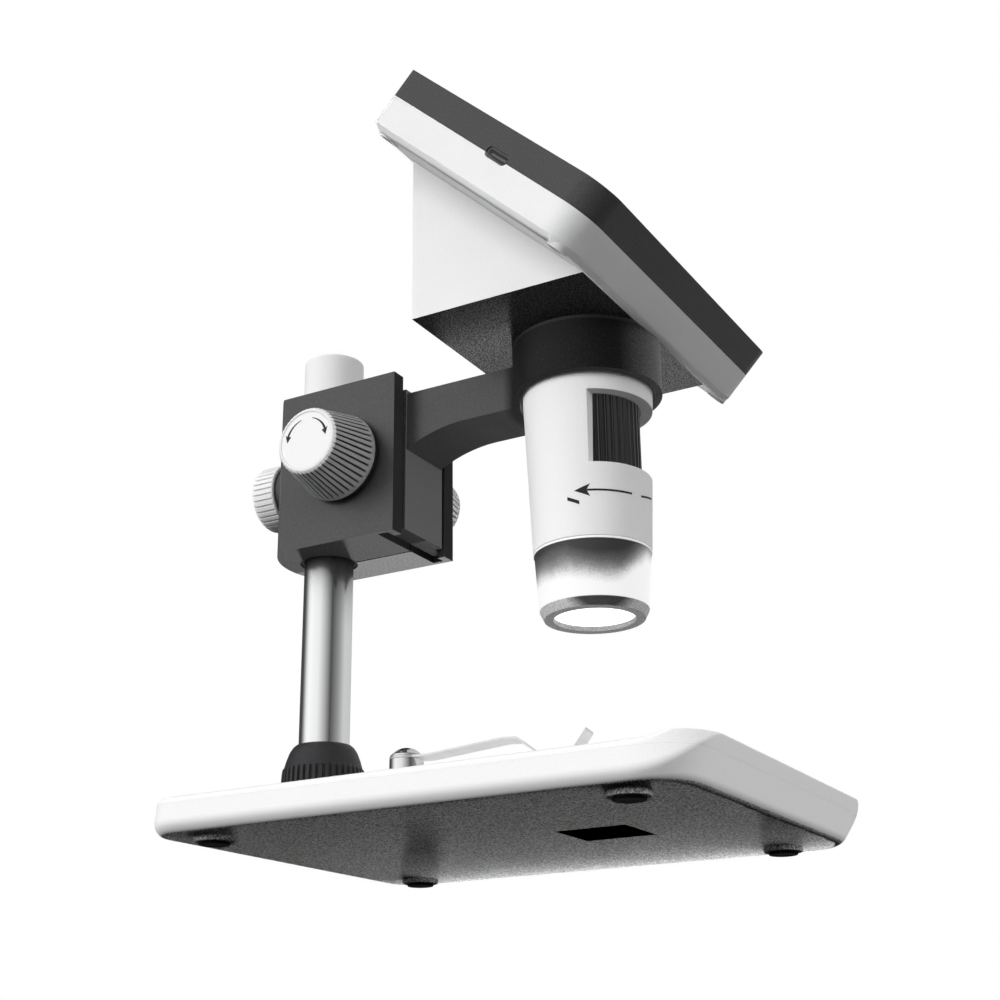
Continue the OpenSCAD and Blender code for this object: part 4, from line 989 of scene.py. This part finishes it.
def flatten_pads(depth):
    """Moves the tops of the screw pads to depth behind the housing's front, in mm."""
    def move(vert):
        local = SLAB_BACK @ (vert.co * MM)
        if local.z < -SLAB_T - 0.05 and from_pad(local) < 3.6:
            local.z = -depth
            vert.co = (SLAB @ local) * 1000
    return move


def wedge_edge(edge):
    """The lower side edges of the part of the housing that holds the barrel."""
    a, b = (face.normal for face in edge.link_faces)
    return max(abs(a.x), abs(b.x)) > 0.98 and min(a.z, b.z) < -0.98


def back_edge(edge):
    """The outer edge of the housing's back, apart from its lower end."""
    local = [SLAB_BACK @ (v.co * MM) for v in edge.verts]
    turn = SLAB_BACK.to_3x3().normalized()
    facing = max(abs((turn @ face.normal).z) for face in edge.link_faces)
    if facing < 0.99 or not edge.is_convex or any(abs(c.z + SLAB_T) > 0.1 for c in local):
        return False
    if any(c.y < 5.5 - SLAB_H for c in local) and abs(local[0].y - local[1].y) < 8:
        return False
    return all((abs(abs(c.x) - SLAB_W / 2) < 6 or c.y > -6) and from_pad(c) > 3.8 for c in local)


cover = refine("rear_cover", 0.3, ["white_cover", "white_under"], move=flatten_pads(SLAB_T + 0.5),
               wide=[(wedge_edge, 0.9, 4), (back_edge, 1.9, 1)])
flat = [face for face in cover.data.polygons if face.normal.z < -0.9995]
wedge_low = max(flat, key=lambda face: face.area).center.z
for face in cover.data.polygons:
    if face.normal.z < -0.97 and face.center.z < wedge_low + 0.001:
        face.material_index = 1
# the housing's flat underside takes the near-black painted shade
underside("head_underside", cover, "rear_cover",
          lambda f: abs(f.calc_center_median().z - wedge_low) < 0.0001, "underside_painted_shade")
for node in ("clip_left", "clip_right"):
    refine(node, 0.12)
refine("clip_posts", 0.2, "chrome_post")
refine("underside_plate", 0.1, "dark_label")
refine("cover_glass", 0.12)
refine("case_screws", 0.15, move=flatten_pads(SLAB_T + 0.3))
refine("memory_card", 0.15)
refine("dimmer_wheel", 0.12)


# ---- screen and buttons
def screen():
    """The lit area of the panel, a sheet that lies on the panel's face."""
    bm = bmesh.new()
    x, low, high, lift = 47.5, -64.0, -10.0, -2.56
    flat_shape(bm, [(-x, low, lift), (x, low, lift), (x, high, lift), (-x, high, lift)])
    finish_piece("screen_picture", bm, SLAB, "lcd_panel", "picture", extra=True)


def key_icon(bm, kind, x, y, z):
    """The plain symbol on a key."""
    def poly(points):
        flat_shape(bm, [(x + px, y + py, z) for px, py in points])

    def arc(r, half, a0, a1, n=20):
        rows = []
        for i in range(n + 1):
            a = math.radians(a0 + (a1 - a0) * i / n)
            rows.append([(q * math.cos(a), q * math.sin(a)) for q in (r + half, r - half)])
        for (a, b), (c, d) in zip(rows, rows[1:]):
            poly([a, c, d, b])

    if kind == "power":
        arc(1.35, 0.15, 125, 415)
        poly([(-0.15, 0.2), (0.15, 0.2), (0.15, 1.75), (-0.15, 1.75)])
    elif kind == "menu":
        for row in (-0.95, 0, 0.95):
            poly([(-1.4, row - 0.16), (1.4, row - 0.16), (1.4, row + 0.16), (-1.4, row + 0.16)])
    elif kind == "up":
        poly([(-1.5, -0.9), (1.5, -0.9), (0, 1.3)])
    elif kind == "down":
        poly([(1.5, 0.9), (-1.5, 0.9), (0, -1.3)])
    else:
        arc(1.5, 0.14, 0, 360, 28)
        turns = [math.radians(i * 20) for i in range(18)]
        poly([(0.7 * math.cos(a), 0.7 * math.sin(a)) for a in turns])


def keys():
    for i, kind in enumerate(("power", "menu", "up", "down", "ok")):
        x, y = (i - 2) * 16.0, -79.4
        bm = bmesh.new()
        top = rounded([(0.4, -3.4), (4.5, -3.4), (4.5, -2.62), (3.6, -2.62), (3.6, 0.9),
                       (2.4, 0.78), (0.3, 0.72)], [0, 0.1, 0.1, 0.05, 0.5, 0.8, 0], 4)
        turned(bm, top, 96, shift=(x, y), cap_first=True, cap_last=True)
        turned(bm, [(1.2, -6.5), (1.2, -3.4)], 32, shift=(x, y), cap_first=True)
        bmesh.ops.recalc_face_normals(bm, faces=bm.faces)
        first = len(bm.faces)
        key_icon(bm, kind, x, y, 0.79)
        bm.faces.ensure_lookup_table()
        for face in bm.faces[first:]:
            face.material_index = 1
            face.normal_update()
            if face.normal.z < 0:
                face.normal_flip()
        finish_piece(kind + "_key", bm, SLAB, kind + "_button", ["key_grey", "ink_white"], angle=50)


screen()
keys()

# ---- finish of the other CAD nodes
for name, obj in nodes.items():
    surface = mats[slot_of[name]]
    if name in ("rack_screws", "focus_set_screw", "dc_socket"):
        surface = mats["black_screw"]
    for index in range(len(obj.data.materials)):
        obj.data.materials[index] = surface
    if not obj.data.materials:
        obj.data.materials.append(surface)
    obj.visible_glossy = body_of[name] not in HEAD_BODIES


# ---- camera
cam_data = bpy.data.cameras.new("camera")
cam = add_object("camera", cam_data)
cam_data.sensor_width = 36
cam_data.lens = 57.434
cam_data.clip_start = 0.01
cam_data.clip_end = 20
right = Vector((0.49173579, -0.87067109, -0.0113034))
down = Vector((0.30394206, 0.18379562, -0.93479324))
forward = Vector((0.81597496, 0.45623572, 0.35501245))
cam.matrix_world = (Matrix.Translation((-0.40627, -0.22736, -0.06866))
                    @ Matrix((right, -down, -forward)).transposed().to_4x4())
scene.camera = cam
scene.view_settings.view_transform = "Standard"


# ---- world, floor and lamps
def studio_world():
    world = bpy.data.worlds.new("studio")
    scene.world = world
    world.use_nodes = True
    w = Nodes(world.node_tree)
    w.tree.nodes.clear()

    def d(degrees):
        return (degrees + 180) / 360

    coords = w.add("ShaderNodeTexCoord").outputs["Generated"]
    axes = w.add("ShaderNodeSeparateXYZ", {0: coords}).outputs
    height = w.math("MULTIPLY_ADD", axes[2], 0.5, 0.5)
    light = w.ramp(height, [(0.0, 0.0), (0.499, 0.0), (0.515, 1.3), (0.7, 1.25), (0.77, 0.55),
                            (1.0, 0.6)])
    # what polished metal sees round the horizon: bright on both sides and dark between
    turn = w.math("MULTIPLY_ADD", w.math("ARCTAN2", axes[1], axes[0]), 0.5 / math.pi, 0.5)
    band = w.ramp(turn, [(0.0, 0.86), (d(-123), 0.07), (d(-85), 0.3), (d(-52), 0.6), (d(0), 0.58),
                         (d(26), 0.5), (d(32), 0.06), (d(88), 0.06), (d(102), 0.3),
                         (d(120), 0.85), (d(134), 1.0), (1.0, 0.86)])
    # and what faces that look down see: pale near the horizon and dark below
    above = w.ramp(height, [(0.0, 0.0), (0.5, 0.0), (0.56, 1.0), (1.0, 1.0)])
    below = w.ramp(height, [(0.0, 0.02), (0.2, 0.1), (0.33, 0.45), (0.38, 0.8), (0.5, 0.9),
                            (0.56, 0.0), (1.0, 0.0)])
    softer = w.math("MULTIPLY_ADD", band, 0.5, 0.5)
    mirror = w.math("ADD", w.math("MULTIPLY", band, above), w.math("MULTIPLY", below, softer))
    path = w.add("ShaderNodeLightPath").outputs
    seen = w.math("MAXIMUM", path["Is Camera Ray"], path["Is Transmission Ray"])
    plain, shiny, white = (w.add("ShaderNodeBackground", {0: colour}).outputs[0]
                           for colour in (light, mirror, (1, 1, 1, 1)))
    unseen = w.blend(path["Is Glossy Ray"], plain, shiny)
    w.add("ShaderNodeOutputWorld", {0: w.blend(seen, unseen, white)})


def studio_floor():
    """A pale floor that only a camera above it sees; the view from below looks through it."""
    bm = bmesh.new()
    bmesh.ops.create_grid(bm, x_segments=1, y_segments=1, size=4.0)
    data = bpy.data.meshes.new("floor")
    bm.to_mesh(data)
    bm.free()
    floor = add_object("floor", data)
    floor.location = (0, 0, -0.0004)
    p = Paint("floor", (0.8, 0.8, 0.8), 0.9, specular=0.0)
    p.put("Base Color", p.ramp(p.noise(2.0), [(0.2, 0.78), (0.8, 0.8)]))
    away = p.add("ShaderNodeVectorMath", {0: p.place}, operation="LENGTH").outputs["Value"]
    fade = p.ramp(away, [(0.22, 0.0), (0.75, 1.0)], True)
    white = p.add("ShaderNodeEmission").outputs[0]
    surface = p.blend(fade, p.shader.outputs[0], white)
    clear = p.add("ShaderNodeBsdfTransparent").outputs[0]
    path = p.add("ShaderNodeLightPath").outputs["Is Camera Ray"]
    back = p.add("ShaderNodeNewGeometry").outputs["Backfacing"]
    shown = p.math("MULTIPLY", path, p.math("SUBTRACT", 1.0, back))
    p.give(p.tree.nodes["Material Output"].inputs["Surface"], p.blend(shown, clear, surface))
    floor.data.materials.append(p.mat)


def light_only(obj, name, pieces):
    """Lets a lamp shine on these pieces alone."""
    group = bpy.data.collections.new(name)
    for piece in pieces:
        group.objects.link(piece)
    obj.light_linking.receiver_collection = group


def sun(name, towards_light, strength, angle, only=None):
    """A distant soft lamp; strength 1 shows a white face that looks straight at it as white."""
    data = bpy.data.lights.new(name, "SUN")
    data.energy = strength * math.pi
    data.angle = math.radians(angle)
    obj = add_object(name, data)
    obj.rotation_euler = Vector(towards_light).to_track_quat("Z", "Y").to_euler()
    obj.visible_glossy = False
    if only:
        light_only(obj, name + "_receiver_collection", only)


studio_world()
studio_floor()
sun("key", (-0.866, 0.5, 0.24), 0.58, 25)
sun("front", (-0.6, -0.8, 0.37), 0.06, 36)
sun("far_side", (0.87, 0.49, 0.37), 0.29, 36)
for name, towards, low, strength, angle, only in (
        ("rear", 32.2, 0.021, 2.2, 1.2, undersides[:1]),
        ("front", 19.4, 0.021, 2.2, 1.2, undersides[1:2]),
        ("block", 27.0, 0.12, 9.0, 6.0, undersides[2:4]),
        ("head", 27.0, 0.12, 11.0, 6.0, undersides[4:])):
    a = math.radians(towards)
    sun("grazing_" + name, (math.cos(a), math.sin(a), -low), strength, angle, only=only)
sun("base_front", (0.1, -0.98, 0.05), 0.26, 12, only=base_walls)
sun("base_side", (-0.9, -0.25, -0.35), 0.04, 20, only=base_walls)
sun("cover_back", (0, 0.75, -0.66), 0.15, 30, only=[cover])


def edge_lamp():
    """A long low lamp beside the base, for the brighter far edge of its underside."""
    data = bpy.data.lights.new("edge", "AREA")
    data.shape, data.size, data.size_y, data.energy = "RECTANGLE", 0.2, 0.003, 0.15
    obj = add_object("edge", data)
    obj.location = placed(85, -75, -3).translation
    obj.rotation_euler = (math.pi / 2, 0, math.pi / 2)
    obj.visible_glossy = obj.visible_camera = False
    light_only(obj, "edge_receivers", undersides[:2])


edge_lamp()
